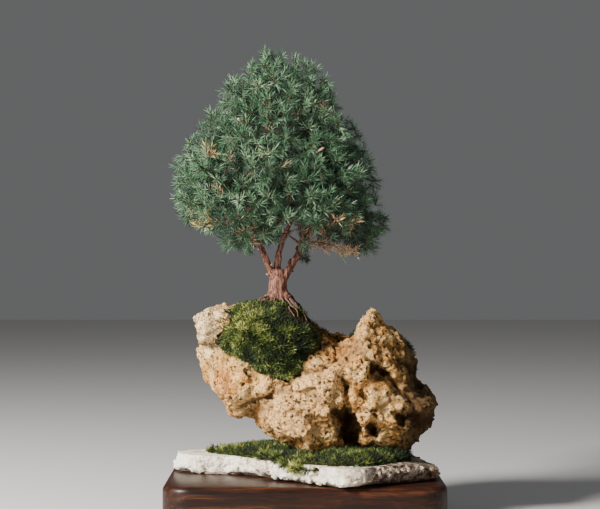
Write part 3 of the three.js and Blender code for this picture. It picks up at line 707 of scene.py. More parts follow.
def lowTwigLines(rng):
    branch = [Vector(p) * mm for p in lowTwigs["withered"]]
    lines = [{"points": branch, "radius": lowTwigs["radius"], "leafyFrom": 0.0, "tone": lowTwigs["tone"]}]
    lengths = (lowTwigs["sideLength"], lowTwigs["sideLength"])
    for _ in range(lowTwigs["sideRounds"]):
        for twig in twigsAlong(branch, rng, lengths, lowTwigs["sideFrom"]):
            tone = lowTwigs["tone"] + rng.uniform(*lowTwigs["toneSpread"])
            lines.append({"points": twig, "radius": foliage["twigRadius"], "leafyFrom": 0.0, "tone": tone})
    sprig = [Vector(p) * mm for p in lowTwigs["hanging"]]
    lines.append({"points": sprig, "radius": foliage["twigRadius"], "leafyFrom": lowTwigs["hangingBareTo"],
                  "tone": lowTwigs["hangingTone"]})
    return lines


def makeFoliage():
    sprayTree = needleSprayTree()
    needle = bladeMesh("needle", foliage["blade"])
    look = {
        "Needle": needle, "Spacing": foliage["spacing"], "Needles In A Whorl": foliage["whorl"],
        "Needle Length": foliage["needleLength"], "Length Spread": foliage["lengthSpread"],
        "Lean": foliage["lean"], "Tip Lean": foliage["tipLean"], "Stem Sides": foliage["stemSides"],
        "Needle Finish": needleFinish(), "Stem Finish": twigFinish()}
    branches = surfaceOf(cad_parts["trunk"])
    rng = random.Random(foliage["seed"])
    nodes = sorted(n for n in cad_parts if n.startswith("spray_"))
    sprays = []
    for node in nodes:
        solid = mergedCopy(node, "solid")
        sprays.append(shootsOf(solid, branches, rng))
        bpy.data.objects.remove(solid)
    print("shoots read:", sum(len(lines) for lines in sprays), "lines")
    for settings in filling["passes"]:
        fill(sprays, settings, rng)
    for number, lines in enumerate(sprays):
        sprays[number] = [line for line in lines if not isOpen(line["points"][-1])]
        for line in sprays[number]:
            formed(line)
    print("crown filled:", sum(len(lines) for lines in sprays), "lines")
    for number, (node, lines) in enumerate(zip(nodes, sprays)):
        piece = linked("needles_" + node, linesMesh(node + "_lines", lines))
        grownBy(piece, sprayTree, {**look, "Seed": number * 10})
        dressed(piece, node)
    piece = linked("low_twigs", linesMesh("low_twig_lines", lowTwigLines(rng)))
    grownBy(piece, sprayTree, {**look, "Seed": lowTwigs["seed"], "Needle Length": lowTwigs["needleLength"]})
    dressed(piece, None)
    bpy.data.objects.remove(needle)


makeFoliage()
print("foliage done")


# Relief: a finely divided copy of a CAD solid, pushed in and out along its normals

def placeAndNormal(tree):
    place = addNode(tree, "GeometryNodeInputPosition").outputs[0]
    return place, addNode(tree, "GeometryNodeInputNormal").outputs[0]


def raised(tree, geometry, normal, height):  # the geometry moved along its normals and shaded smooth
    offset = calcVector(tree, "SCALE", normal, height)
    moved = addNode(tree, "GeometryNodeSetPosition", {"Geometry": geometry, "Offset": offset}).outputs[0]
    return addNode(tree, "GeometryNodeSetShadeSmooth", {"Geometry": moved}).outputs[0]


def centred(tree, value, depth, middle=0.5):  # noise about zero, times a depth
    return calc(tree, "MULTIPLY", calc(tree, "SUBTRACT", value, middle), depth)


def vertexValues(mesh, label):
    values = np.empty(len(mesh.vertices) * 3, dtype=np.float32)
    mesh.vertices.foreach_get(label, values)
    return values.reshape(-1, 3)


def setPlaces(piece, places):
    piece.data.vertices.foreach_set("co", places.ravel())
    piece.data.update()


def uneven(place, layers):  # noise in layers, each with its size and its gain
    return sum(gain * noise.noise(place / size) for size, gain in layers)


# Rock: clefts and knobs of its face, then lumps, crags and pits all over

slabTop = 72
# lines carved into the front: X and Z along the line, half width, depth
rockCuts = [
    {"line": [(83, 181), (93, 173)], "width": 8.5, "depth": 28},
    {"line": [(101, 165), (110, 153)], "width": 5, "depth": 16},
    {"line": [(118, 147), (124, 138)], "width": 5.5, "depth": 16},
    {"line": [(43, 171), (48, 158)], "width": 6, "depth": 18},
    {"line": [(45, 127), (54, 113), (52, 101)], "width": 13, "depth": 36},
    {"line": [(77, 114), (81, 106)], "width": 7.5, "depth": 20},
    {"line": [(66, 154), (72, 143)], "width": 4.5, "depth": 11},
    {"line": [(74, 214), (77, 208)], "width": 4.5, "depth": 12},
    {"line": [(88, 196), (91, 193)], "width": 3, "depth": 8},
    {"line": [(-6, 142), (-2, 140)], "width": 3, "depth": 8},
    {"line": [(18, 100), (21, 97)], "width": 3, "depth": 9},
    {"line": [(40, 206), (48, 200)], "width": 4, "depth": 9},
    {"line": [(-138, 211), (-112, 206), (-92, 206), (-70, 204)], "width": 5.5, "depth": 15},
    {"line": [(-78, 134), (-62, 143), (-38, 151)], "width": 6, "depth": 15},
    {"line": [(-66, 128), (-44, 136)], "width": 13, "depth": 10},
    {"line": [(110, 126), (128, 121), (148, 116)], "width": 10, "depth": 22},
    {"line": [(98, 206), (112, 190), (124, 176)], "width": 6, "depth": 12},
    {"line": [(24, 176), (8, 178), (-6, 172)], "width": 4, "depth": 8},
    {"line": [(58, 196), (46, 188), (34, 190)], "width": 5, "depth": 9},
]
# knobs raised on the front: X and Z, half sizes, height
rockKnobs = [
    {"at": (138, 136), "size": (15, 9), "height": 8}, {"at": (28, 150), "size": (17, 28), "height": 9},
    {"at": (-96, 190), "size": (26, 14), "height": 8}, {"at": (70, 180), "size": (18, 14), "height": 8},
    {"at": (76, 130), "size": (14, 22), "height": 6}, {"at": (-92, 150), "size": (18, 16), "height": 6},
    {"at": (7, 92), "size": (14, 22), "height": 9},
]
# places pulled aside in the front view: X and Z, radius, move in X and Z
rockPulls = [
    {"at": (49, 228), "radius": 15, "move": (9, -7)}, {"at": (-106, 138), "radius": 16, "move": (6, 1)},
    {"at": (-124, 186), "radius": 16, "move": (-1, 0)}, {"at": (98, 238), "radius": 12, "move": (-4, -4)},
    {"at": (-134, 216), "radius": 12, "move": (1, 0)}, {"at": (-66, 112), "radius": 12, "move": (4, 5)},
    {"at": (136, 168), "radius": 13, "move": (-7, -4)}, {"at": (146, 138), "radius": 9, "move": (4, 2)},
    {"at": (26, 224), "radius": 12, "move": (0, -6)}, {"at": (20, 70), "radius": 12, "move": (2, 5)},
    {"at": (132, 100), "radius": 14, "move": (-8, 5)}, {"at": (66, 238), "radius": 7, "move": (3, 0)},
    {"at": (80, 248), "radius": 8, "move": (-2, 5)}, {"at": (97, 240), "radius": 7, "move": (-3, 0)},
]
rockLook = {"Crest Size": 46 * mm, "Crest Height": 4.5 * mm, "Crag Size": 19 * mm, "Crag Height": 2.2 * mm,
            "Facet Size": 24 * mm, "Facet Tilt": 0.34, "Chip Size": 8 * mm, "Chip Tilt": 0.46,
            "Lump Size": 4.5 * mm, "Lump Height": 1.7 * mm, "Pit Size": 8 * mm, "Pit Depth": 3.4 * mm,
            "Foot": slabTop * mm}  # the relief fades out towards the foot
rockPlanes = 1250  # triangles that the broad planes of the rock are made of
rockVoxel = 1.7 * mm
# how far the carving reaches past each width, how ragged it is, where the stone counts as front,
# and how deep and how far back the clefts get painted shade
carving = {
    "pullReach": 1.6, "cutReach": 1.25, "cutRagged": 0.45, "knobReach": 1.15, "knobRagged": 0.3,
    "ragged": ((7, 1.0), (3, 0.6)), "frontFrom": 0.02, "frontOver": 0.35,
    "darkFrom": 3, "darkOver": 14, "darkBack": 10 * mm,
}


def awayFrom(line, flat):  # distances of points in the front view from a line through a few points
    best = np.full(len(flat), 1e9)
    for start, end in zip(line, line[1:]):
        start, run = np.array(start), np.array(end) - np.array(start)
        share = np.clip(((flat - start) @ run) / (run @ run), 0, 1)
        best = np.minimum(best, np.linalg.norm(flat - start - share[:, None] * run, axis=1))
    return best


def pulledAside(piece, pulls):
    places = vertexValues(piece.data, "co")
    for pull in pulls:
        away = np.linalg.norm(places[:, (0, 2)] / mm - np.array(pull["at"]), axis=1) / pull["radius"]
        share = np.clip(carving["pullReach"] - away, 0, 1) ** 2
        places[:, (0, 2)] += share[:, None] * np.array(pull["move"]) * mm
    setPlaces(piece, places)


def carvedAt(places, cuts):  # how deep the cuts go at these places, and how ragged the stone is there
    flat = places[:, (0, 2)] / mm
    ragged = np.array([uneven(Vector((x, 0, z)), carving["ragged"]) for x, z in flat.tolist()])
    depth = np.zeros(len(places))
    for cut in cuts:
        width = cut["width"] * (1 + carving["cutRagged"] * ragged)
        share = np.clip(carving["cutReach"] - awayFrom(cut["line"], flat) / width, 0, 1)
        depth = np.maximum(depth, cut["depth"] * share)
    return depth, ragged


def shapedFront(piece, cuts, knobs):  # pushes the front in at the cuts and out at the knobs
    places = vertexValues(piece.data, "co")
    facing = -vertexValues(piece.data, "normal")[:, 1]
    front = np.clip((facing - carving["frontFrom"]) / carving["frontOver"], 0, 1)
    flat = places[:, (0, 2)] / mm
    push, ragged = carvedAt(places, cuts)
    for knob in knobs:
        away = np.linalg.norm((flat - np.array(knob["at"])) / np.array(knob["size"]), axis=1)
        share = np.clip(carving["knobReach"] - away + carving["knobRagged"] * ragged, 0, 1)
        push -= knob["height"] * share * (push < 1)
    places[:, 1] += push * front * mm
    setPlaces(piece, places)


def planed(piece, triangles):  # so few triangles that broad flat planes are left
    thinned = piece.modifiers.new("planes", "DECIMATE")
    thinned.ratio = triangles / sum(len(p.vertices) - 2 for p in piece.data.polygons)
    return settled(piece)


# the clefts' insides are marked for painted shade in the stone's colour
def markCarved(piece, cuts):  # the clefts' insides, for the stone's colour
    places = vertexValues(piece.data, "co")
    front = np.clip(1 - places[:, 1] / carving["darkBack"], 0, 1)
    dark = np.clip((carvedAt(places, cuts)[0] - carving["darkFrom"]) / carving["darkOver"], 0, 1)
    addValues(piece.data, "carved", dark * front)


def ridged(tree, place, size, detail=2.0):  # sharp crests where the noise passes its middle value, 0 to 1
    away = calc(tree, "ABSOLUTE", calc(tree, "SUBTRACT", noiseAt(tree, place, size, detail, 0.5), 0.5))
    return calc(tree, "SUBTRACT", 1.0, calc(tree, "MULTIPLY", away, 4.0), clamp=True)


def facets(tree, place, size, tilt):  # flat faces that lean every way, with small steps between them
    cells = cellsAt(tree, place, size)
    away = calcVector(tree, "SUBTRACT", place, cells.outputs["Position"])
    lean = calcVector(tree, "SUBTRACT", cells.outputs["Color"], (0.5, 0.5, 0.5))
    slope = addNode(tree, "ShaderNodeVectorMath", {0: away, 1: lean}, operation="DOT_PRODUCT")
    return calc(tree, "MULTIPLY", slope.outputs["Value"], tilt)


def rockTree():
    tree, given, out = newTree("weathered limestone", {label: float for label in rockLook})
    place, normal = placeAndNormal(tree)
    wandering = stirred(tree, place, 6 * mm, 6 * mm)
    crests = centred(tree, ridged(tree, place, given["Crest Size"]), given["Crest Height"], 0.65)
    crags = centred(tree, ridged(tree, wandering, given["Crag Size"], 3.0), given["Crag Height"], 0.6)
    lumps = centred(tree, noiseAt(tree, place, given["Lump Size"], 4, 0.65), given["Lump Height"])
    pits = hollows(tree, wandering, given["Pit Size"], 0.30, 0.38, 0.5)
    broad = facets(tree, stirred(tree, place, 9 * mm, 4 * mm), given["Facet Size"], given["Facet Tilt"])
    chips = facets(tree, stirred(tree, place, 4 * mm, 2 * mm), given["Chip Size"], given["Chip Tilt"])
    broken = calc(tree, "ADD", broad, chips)
    height = total(tree, crests, crags, lumps, broken)
    height = calc(tree, "SUBTRACT", height, calc(tree, "MULTIPLY", pits, given["Pit Depth"]))
    above = heightOver(tree, place, given["Foot"])
    height = calc(tree, "MULTIPLY", height, fromTo(tree, above, 0.0, 6 * mm))
    # painted shade: the pits, the clefts' insides, low places between crests and low spots are stored to be
    # painted dark
    low = fromTo(tree, calc(tree, "ADD", crests, crags), -4.5 * mm, -1.5 * mm, 0.55, 0.0)
    hollow = calc(tree, "MAXIMUM", calc(tree, "MAXIMUM", pits, named(tree, "carved")), low)
    stone = store(tree, given["Geometry"], "hollow", hollow)
    lowSpot = fromTo(tree, calc(tree, "ADD", lumps, broken), -1.7 * mm, -0.4 * mm, 1.0, 0.0)
    stone = store(tree, stone, "lowSpot", lowSpot)
    tree.links.new(raised(tree, stone, normal, height), out["Geometry"])
    return tree


stoneTones = [(0.36, (0.50, 0.25, 0.075)), (0.46, (0.85, 0.485, 0.155)), (0.58, (1.0, 0.67, 0.29))]
stoneColours = {
    "ochre": (0.62, 0.27, 0.050), "rust": (0.70, 0.29, 0.09), "lichen": (0.050, 0.034, 0.014),
    "flankMossAndShade": (0.045, 0.032, 0.015), "grain": (0.20, 0.094, 0.036), "poreAndHollowShade": (0.045, 0.019, 0.007),
}
# stains and light places: centre, radius, and for the light ones their colour
rustAt = [((52, -60, 200), 14), ((-104, -60, 160), 14), ((60, -40, 226), 8)]
lichenAt = [((34, 10, 226), 18), ((6, 0, 224), 24), ((14, -40, 214), 12)]
paleAt = [((-116, -30, 232), 22, (1.0, 0.79, 0.47)), ((-24, -90, 140), 30, (1.0, 0.61, 0.26)),
          ((20, -90, 160), 16, (1.0, 0.61, 0.26))]


def limestoneFinish():
    material, tree, shader = newMaterial("porous limestone", 0.93, 0.2)
    place = objectPlace(tree)
    colour = ramp(tree, noiseAt(tree, place, 26 * mm, 5, 0.62), stoneTones)
    ochre = fromTo(tree, noiseAt(tree, stirred(tree, place, 20 * mm, 14 * mm), 14 * mm, 4), 0.50, 0.61)
    colour = mixed(tree, ochre, colour, stoneColours["ochre"], 0.75)
    for centre, radius in rustAt:
        rust = sphereMask(tree, place, Vector(centre) * mm, radius * mm, 20 * mm)
        colour = mixed(tree, rust, colour, stoneColours["rust"], 0.55)
    mottled = fromTo(tree, noiseAt(tree, place, 9 * mm, 4, 0.6), 0.36, 0.5, 0.35, 0.85)
    for centre, radius, light in paleAt:
        pale = sphereMask(tree, place, Vector(centre) * mm, radius * mm, 28 * mm)
        colour = mixed(tree, pale, colour, light, mottled)
    # moss and lichen darken the ridge behind the mound, and the stone's right side is darkened by moss and by
    # painted shade
    ragged = centred(tree, noiseAt(tree, place, 12 * mm, 5, 0.65), 60 * mm)
    for centre, radius in lichenAt:
        patch = sphereMask(tree, place, Vector(centre) * mm, radius * mm, 20 * mm)
        dim = calc(tree, "MULTIPLY", patch, fromTo(tree, noiseAt(tree, place, 7 * mm, 4), 0.36, 0.54))
        colour = mixed(tree, dim, colour, stoneColours["lichen"], 0.88)
    # painted shade, partly moss, on the right side that turns away from the light
    right = calc(tree, "ADD", acrossOf(tree, place), ragged)
    colour = mixed(tree, fromTo(tree, right, 98 * mm, 128 * mm), colour, stoneColours["flankMossAndShade"], 0.92)
    grain = noiseAt(tree, place, 2.4 * mm, 6, 0.78)
    colour = mixed(tree, fromTo(tree, grain, 0.40, 0.51, 0.72, 0.0), colour, stoneColours["grain"])
    # pores gather in some places, and a few are wide
    gathered = fromTo(tree, noiseAt(tree, place, 15 * mm, 3), 0.40, 0.54, 0.25, 1.0)
    fine = fromTo(tree, noiseAt(tree, place, 2.8 * mm, 3, 0.55), 0.425, 0.375)
    wide = hollows(tree, stirred(tree, place, 4 * mm, 6 * mm), 5.4 * mm, 0.42, 0.42, 0.75)
    pores = calc(tree, "MULTIPLY", calc(tree, "MAXIMUM", fine, wide), gathered)
    # painted shade: the pores, hollows and low spots are painted near black
    shade = calc(tree, "MULTIPLY", attributeOf(tree, "lowSpot"), 0.5)
    dark = calc(tree, "MAXIMUM", attributeOf(tree, "hollow"), calc(tree, "MAXIMUM", pores, shade))
    colour = mixed(tree, dark, colour, stoneColours["poreAndHollowShade"], 0.9)
    painted(tree, shader, colour)
    bumped(tree, shader, calc(tree, "SUBTRACT", grain, pores), 2.6 * mm)
    return material


def makeRock():
    rock = remeshed(mergedCopy("rock", "limestone"), rockVoxel, 1)
    pulledAside(rock, rockPulls)
    shapedFront(rock, rockCuts, rockKnobs)
    remeshed(planed(remeshed(rock, 2 * rockVoxel, 0), rockPlanes), rockVoxel, 1)
    markCarved(rock, rockCuts)
    grownBy(rock, rockTree(), rockLook)
    rock.data.materials.append(limestoneFinish())
    dressed(rock, "rock")


makeRock()
print("rock done")


# Slab: chipped and wavy at its edge, level on top and below

slabLook = {"Chip Size": 22 * mm, "Chip Depth": 7 * mm, "Break Size": 8 * mm, "Break Depth": 3.2 * mm,
            "Facet Size": 17 * mm, "Facet Tilt": 0.45, "Undercut": 12 * mm, "Bottom": 50 * mm}
slabPlanes = 15000  # triangles of the chipped stone
slabEnd = {"from": 118, "to": 162, "share": 0.5}  # the right end thins out by this share
slabVoxel = 2.0 * mm


def slabTree():
    tree, given, out = newTree("chipped slab", {label: float for label in slabLook})
    place, normal = placeAndNormal(tree)
    upright = calc(tree, "ABSOLUTE", heightOf(tree, normal))
    edge = fromTo(tree, upright, 0.55, 0.95, 1.0, 0.1)
    chips = centred(tree, ridged(tree, place, given["Chip Size"], 3.0), given["Chip Depth"], 0.75)
    layered = calcVector(tree, "MULTIPLY", place, (1.0, 1.0, 2.2))
    breaks = centred(tree, noiseAt(tree, layered, given["Break Size"], 4, 0.65), given["Break Depth"])
    faces = facets(tree, stirred(tree, place, 8 * mm, 4 * mm), given["Facet Size"], given["Facet Tilt"])
    # the lower edge is broken away in scallops, most at the right end
    above = heightOver(tree, place, given["Bottom"])
    scallops = noiseAt(tree, calcVector(tree, "MULTIPLY", place, (1.0, 1.0, 0.0)), 17 * mm, 2)
    reach = calc(tree, "ADD", fromTo(tree, scallops, 0.35, 0.65, 2 * mm, 10 * mm),
                 fromTo(tree, acrossOf(tree, place), 40 * mm, 80 * mm, 0.0, 9 * mm))
    below = calc(tree, "SUBTRACT", 1.0, calc(tree, "DIVIDE", above, reach), clamp=True)
    inward = calcVector(tree, "NORMALIZE", calcVector(tree, "MULTIPLY", place, (-1.0, -1.0, 0.0)))
    inward = calcVector(tree, "SCALE", inward, calc(tree, "MULTIPLY", below, given["Undercut"]))
    height = calc(tree, "MULTIPLY", total(tree, chips, breaks, faces), edge)
    # the share near the bottom edge is kept for painted shade under the undercut
    stone = store(tree, given["Geometry"], "under", below)
    stone = addNode(tree, "GeometryNodeSetPosition", {"Geometry": stone, "Offset": inward}).outputs[0]
    tree.links.new(raised(tree, stone, normal, height), out["Geometry"])
    return tree


slabTones = [(0.34, (0.66, 0.50, 0.36)), (0.44, (0.90, 0.81, 0.67)), (0.55, (0.98, 0.92, 0.80))]
slabColours = {"weathered": (0.34, 0.24, 0.17), "spot": (0.060, 0.038, 0.022), "under": (0.17, 0.10, 0.060),
               "grain": (0.36, 0.24, 0.16)}


def slabFinish():
    material, tree, shader = newMaterial("pale limestone", 0.88, 0.25)
    place = objectPlace(tree)
    colour = ramp(tree, noiseAt(tree, place, 26 * mm, 5, 0.6), slabTones)
    # the right end is weathered and spotted
    ragged = centred(tree, noiseAt(tree, place, 20 * mm, 4, 0.6), 55 * mm)
    right = calc(tree, "ADD", acrossOf(tree, place), ragged)
    colour = mixed(tree, fromTo(tree, right, 40 * mm, 84 * mm, 0.0, 0.7), colour, slabColours["weathered"])
    spotted = fromTo(tree, noiseAt(tree, place, 7 * mm, 4, 0.65), 0.46, 0.54)
    rightEnd = fromTo(tree, right, 48 * mm, 90 * mm)
    colour = mixed(tree, spotted, colour, slabColours["spot"], rightEnd)
    # painted shade along the bottom edge, under the undercut
    colour = mixed(tree, attributeOf(tree, "under"), colour, slabColours["under"], 0.85)
    grain = noiseAt(tree, place, 3.4 * mm, 6, 0.7)
    colour = mixed(tree, fromTo(tree, grain, 0.36, 0.48, 0.6, 0.0), colour, slabColours["grain"])
    painted(tree, shader, colour)
    bumped(tree, shader, grain, 2.2 * mm)
    return material


def makeSlab():
    slab = remeshed(mergedCopy("slab", "chipped_slab"), slabVoxel, 0)
    places = vertexValues(slab.data, "co")
    share = np.clip((places[:, 0] / mm - slabEnd["from"]) / (slabEnd["to"] - slabEnd["from"]), 0, 1)
    above = places[:, 2] - slabLook["Bottom"]
    places[:, 2] = slabLook["Bottom"] + above * (1 - slabEnd["share"] * share)
    slab.data.vertices.foreach_set("co", places.ravel())
    planed(grownBy(slab, slabTree(), slabLook), slabPlanes)
    slab.data.polygons.foreach_set("use_smooth", [False] * len(slab.data.polygons))
    slab.data.materials.append(slabFinish())
    dressed(slab, "slab")


makeSlab()
print("slab done")


# Moss: a cushioned bed with small leaves all over its open side

moundLook = {"Cushion Size": 9 * mm, "Cushion Height": 3.4 * mm, "Leaves": 1900000.0, "Leaf Length": 4.8 * mm,
             "Length Spread": 0.55, "Lean": math.radians(88), "Seed": 3}
matLook = {"Cushion Size": 13 * mm, "Cushion Height": 4.6 * mm, "Leaves": 1250000.0, "Leaf Length": 4.6 * mm,
           "Length Spread": 0.6, "Lean": math.radians(89), "Seed": 8}
# the mat: it thins out to the left, its edge is uneven and has longer strands, it is lower before the
# rock's toe, and in one place it hangs over the slab's front edge (move in Y and Z)
matTaper = {"from": -40, "to": -112, "share": 0.62}
matEdge = {"height": 6, "size": 9, "reach": 7, "strands": 0.9, "strandsShift": 0.6}
matDip = {"at": (8, -96), "reach": 32, "depth": 9, "above": 73, "over": 6}
matSpill = {"at": -6, "reach": 34, "from": -60, "over": 18, "move": (-15, -5)}
# what may lie over each bed, its bare spots (centre, radius), and its lighter and darker spots
# (centre, radius, change of tone)
mossBeds = [
    {"name": "mound_moss", "node": "moss_mound", "look": moundLook, "neighbours": ("rock", "soil", "trunk"),
     "bare": [((-34, -14, 258), 30), ((-8, -50, 245), 25), ((6, -44, 230), 22), ((10, -20, 236), 20)],
     # the mound's darker spot on its right side is partly bare moss and partly painted shade
     "bright": [((-78, -70, 240), 34, 0.42), ((-30, -80, 236), 22, 0.1), ((-14, -70, 206), 34, -0.15),
                ((2, -36, 238), 40, -0.4)]},
    {"name": "mat_moss", "node": "moss_mat", "look": matLook, "neighbours": ("rock", "slab"), "bare": [],
     "bright": [((-6, -84, 80), 26, 0.25), ((44, -84, 80), 22, 0.3), ((-90, 10, 80), 50, 0.2),
                ((104, -50, 80), 44, -0.25)]},
]
bedVoxel = 2.6 * mm
# moss needs this much room over it, and thins out raggedly round a bare spot
mossRoom = {"below": 1.5, "above": 5.5, "steep": 3, "ragged": ((6 * mm, 1.6), (2.5 * mm, 0.8))}
mossLeaf = {"half": 0.066, "fold": 0.05, "widest": 0.4}  # shares of the leaf's length
mossLean = 0.6  # a power: below 1, more leaves lean far over
leafTones = {"patches": (0.08, 0.52), "cushion": 0.55, "spread": (-0.32, 0.40)}
# thin moss on the rock: where it has taken hold, and how far it spreads
ledgeLook = {"Cushion Size": 6 * mm, "Cushion Height": 0.0, "Leaves": 900000.0, "Leaf Length": 4.2 * mm,
             "Length Spread": 0.45, "Lean": math.radians(88), "Seed": 5}
ledgePatches = [
    ((-84, -60, 247), 15), ((-93, -62, 233), 11), ((24, -10, 226), 17), ((8, -20, 240), 13),
    ((8, -56, 196), 15), ((14, -44, 212), 10), ((40, 0, 216), 12), ((98, 20, 232), 13), ((122, 0, 200), 15),
    ((134, -10, 176), 11), ((110, -60, 160), 7), ((58, -62, 92), 9), ((76, -60, 88), 9), ((92, -50, 86), 8),
    ((30, -60, 78), 8), ((-20, 40, 238), 26), ((60, 50, 214), 22), ((-70, 34, 232), 20), ((100, 50, 150), 14),
]
ledgeGrowth = {"steep": 3, "share": 0.8, "less": 0.4, "ragged": ((7 * mm, 1.0), (3 * mm, 0.5)),
               "lowBelow": 110 * mm, "lowTone": 0.18, "tone": -0.06}
mossTones = [
    (0.0, (0.005, 0.010, 0.003)), (0.3, (0.020, 0.038, 0.008)), (0.55, (0.075, 0.112, 0.020)),
    (0.78, (0.24, 0.29, 0.052)), (1.0, (0.60, 0.56, 0.18)),
]
mossRoot = (0.010, 0.013, 0.004)
mossBedTones = [(0.35, (0.010, 0.008, 0.004)), (0.65, (0.062, 0.048, 0.020))]


def mossTree():
    tree, given, out = newTree("moss", {
        "Leaf": bpy.types.Object, "Cushion Size": float, "Cushion Height": float, "Leaves": float,
        "Leaf Length": float, "Length Spread": float, "Lean": float, "Seed": int, "Keep Bed": bool,
        "Leaf Finish": bpy.types.Material, "Bed Finish": bpy.types.Material})
    seed = given["Seed"]
    place, normal = placeAndNormal(tree)
    growth = named(tree, "growth")
    cells = cellsAt(tree, stirred(tree, place, 20 * mm, 8 * mm), given["Cushion Size"], "SMOOTH_F1")
    dome = fromTo(tree, cells.outputs["Distance"], 0.0, 0.75, 1.0, 0.0)
    fine = centred(tree, noiseAt(tree, place, 5 * mm, 2), 0.7)
    height = centred(tree, total(tree, dome, fine), given["Cushion Height"], 0.4)
    bed = store(tree, given["Geometry"], "cushion", dome)
    bed = raised(tree, bed, normal, calc(tree, "MULTIPLY", height, growth))
    # leaves stand on the bed where it is open, leaning every way
    density = calc(tree, "MULTIPLY", given["Leaves"], fromTo(tree, growth, 0.3, 0.8))
    spread = addNode(tree, "GeometryNodeDistributePointsOnFaces", {"Mesh": bed, "Seed": seed},
                     distribute_method="RANDOM")
    plug(tree, density, next(s for s in spread.inputs if s.name == "Density" and s.enabled))
    lean = calc(tree, "POWER", randomBetween(tree, 0.0, 1.0, seed, 2), mossLean)
    facing = spunAndTipped(tree, spread.outputs["Rotation"], randomBetween(tree, 0.0, math.tau, seed, 1),
                           calc(tree, "MULTIPLY", given["Lean"], lean))
    length = lengthAround(tree, given["Leaf Length"], given["Length Spread"], seed, 3)
    length = calc(tree, "MULTIPLY", length, calc(tree, "ADD", 1.0, named(tree, "fringe")))
    patches = fromTo(tree, noiseAt(tree, place, 14 * mm, 3, 0.6), 0.32, 0.68, *leafTones["patches"])
    tone = total(tree, patches, centred(tree, named(tree, "cushion"), leafTones["cushion"]),
                 randomBetween(tree, *leafTones["spread"], seed, 4), named(tree, "bright"))
    tone = addNode(tree, "ShaderNodeClamp", {"Value": tone}).outputs[0]
    leaves = bladesOn(tree, spread.outputs["Points"], given["Leaf"], facing, length, tone)
    leaves = finished(tree, leaves, given["Leaf Finish"])
    kept = addNode(tree, "GeometryNodeSwitch", {
        "Switch": given["Keep Bed"], "True": finished(tree, bed, given["Bed Finish"])},
        input_type="GEOMETRY").outputs[0]
    tree.links.new(joined(tree, leaves, kept), out["Geometry"])
    return tree


def mossLeafFinish():
    material, tree, shader = newMaterial("moss leaves", 0.62, 0.3)
    colour = ramp(tree, attributeOf(tree, "shade"), mossTones)
    rootward = fromTo(tree, attributeOf(tree, "along"), 0.0, 0.7, 0.85, 0.0)
    painted(tree, shader, mixed(tree, rootward, colour, mossRoot))
    return material


def mossBedFinish():
    material, tree, shader = newMaterial("moss bed", 1.0, 0.1)
    patchy = noiseAt(tree, objectPlace(tree), 3 * mm, 4, 0.65)
    painted(tree, shader, ramp(tree, patchy, mossBedTones))
    return material


def nearness(place, spots):  # 1 in the middle of a spot, 0 outside all of them
    return max((max(0, 1 - (place - Vector(centre) * mm).length / (radius * mm)) for centre, radius in spots),
               default=0)


def growthAt(vertex, neighbours, bare):  # moss grows where nothing covers it, less on bare spots
    start = vertex.co - vertex.normal * mossRoom["below"] * mm
    if neighbours.ray_cast(start, vertex.normal, mossRoom["above"] * mm)[0] is not None:
        return 0.0
    near = nearness(vertex.co, bare)
    ragged = uneven(vertex.co, mossRoom["ragged"]) if near > 0 else 0
    return within(1 - mossRoom["steep"] * near + ragged, 0, 1)


def markOpenSide(piece, neighbours, bare, bright):
    vertices = piece.data.vertices
    addValues(piece.data, "growth", [growthAt(vertex, neighbours, bare) for vertex in vertices])
    addValues(piece.data, "bright", [sum(gain * nearness(vertex.co, [spot]) for *spot, gain in bright)
                                     for vertex in vertices])


def shapedMat(piece):
    places = vertexValues(piece.data, "co")
    above = places[:, 2] / mm - slabTop
    thinner = np.clip((places[:, 0] / mm - matTaper["from"]) / (matTaper["to"] - matTaper["from"]), 0, 1)
    places[:, 2] -= matTaper["share"] * thinner * np.clip(above, 0, None) * mm
    edge = np.clip(1 - above / matEdge["height"], 0, 1)
    flat = (places[:, :2] / mm).tolist()
    swing = np.array([noise.noise(Vector((x, y, 0)) / matEdge["size"]) for x, y in flat])
    out = vertexValues(piece.data, "normal")[:, :2]
    places[:, :2] += out * (edge * swing * matEdge["reach"] * mm)[:, None]
    strands = edge * (matEdge["strandsShift"] + swing) * matEdge["strands"]
    addValues(piece.data, "fringe", np.clip(strands, 0, 1))
    away = np.linalg.norm(places[:, :2] / mm - np.array(matDip["at"]), axis=1) / matDip["reach"]
    upper = np.clip((places[:, 2] / mm - matDip["above"]) / matDip["over"], 0, 1)
    places[:, 2] -= matDip["depth"] * mm * np.clip(1 - away ** 2, 0, 1) * upper
    aside = (places[:, 0] / mm - matSpill["at"]) / matSpill["reach"]
    front = np.clip((matSpill["from"] - places[:, 1] / mm) / matSpill["over"], 0, 1)
    places[:, 1:] += (np.clip(1 - aside ** 2, 0, 1) * front)[:, None] * np.array(matSpill["move"]) * mm
    setPlaces(piece, places)


def makeLedgeMoss(tree, finishes):  # thin moss on the finished rock's ledges
    piece = linked("ledge_moss", bpy.data.objects["limestone"].data.copy())
    piece.data.materials.clear()
    growth, tones = [], []
    for vertex in piece.data.vertices:
        near = ledgeGrowth["steep"] * nearness(vertex.co, ledgePatches)
        ragged = ledgeGrowth["share"] * uneven(vertex.co, ledgeGrowth["ragged"])
        growth.append(within(near + ragged - ledgeGrowth["less"], 0, 1))
        tones.append(ledgeGrowth["lowTone" if vertex.co.z < ledgeGrowth["lowBelow"] else "tone"])
    addValues(piece.data, "growth", growth)
    addValues(piece.data, "bright", tones)
    grownBy(piece, tree, {**ledgeLook, **finishes, "Keep Bed": False})
    dressed(piece, None)


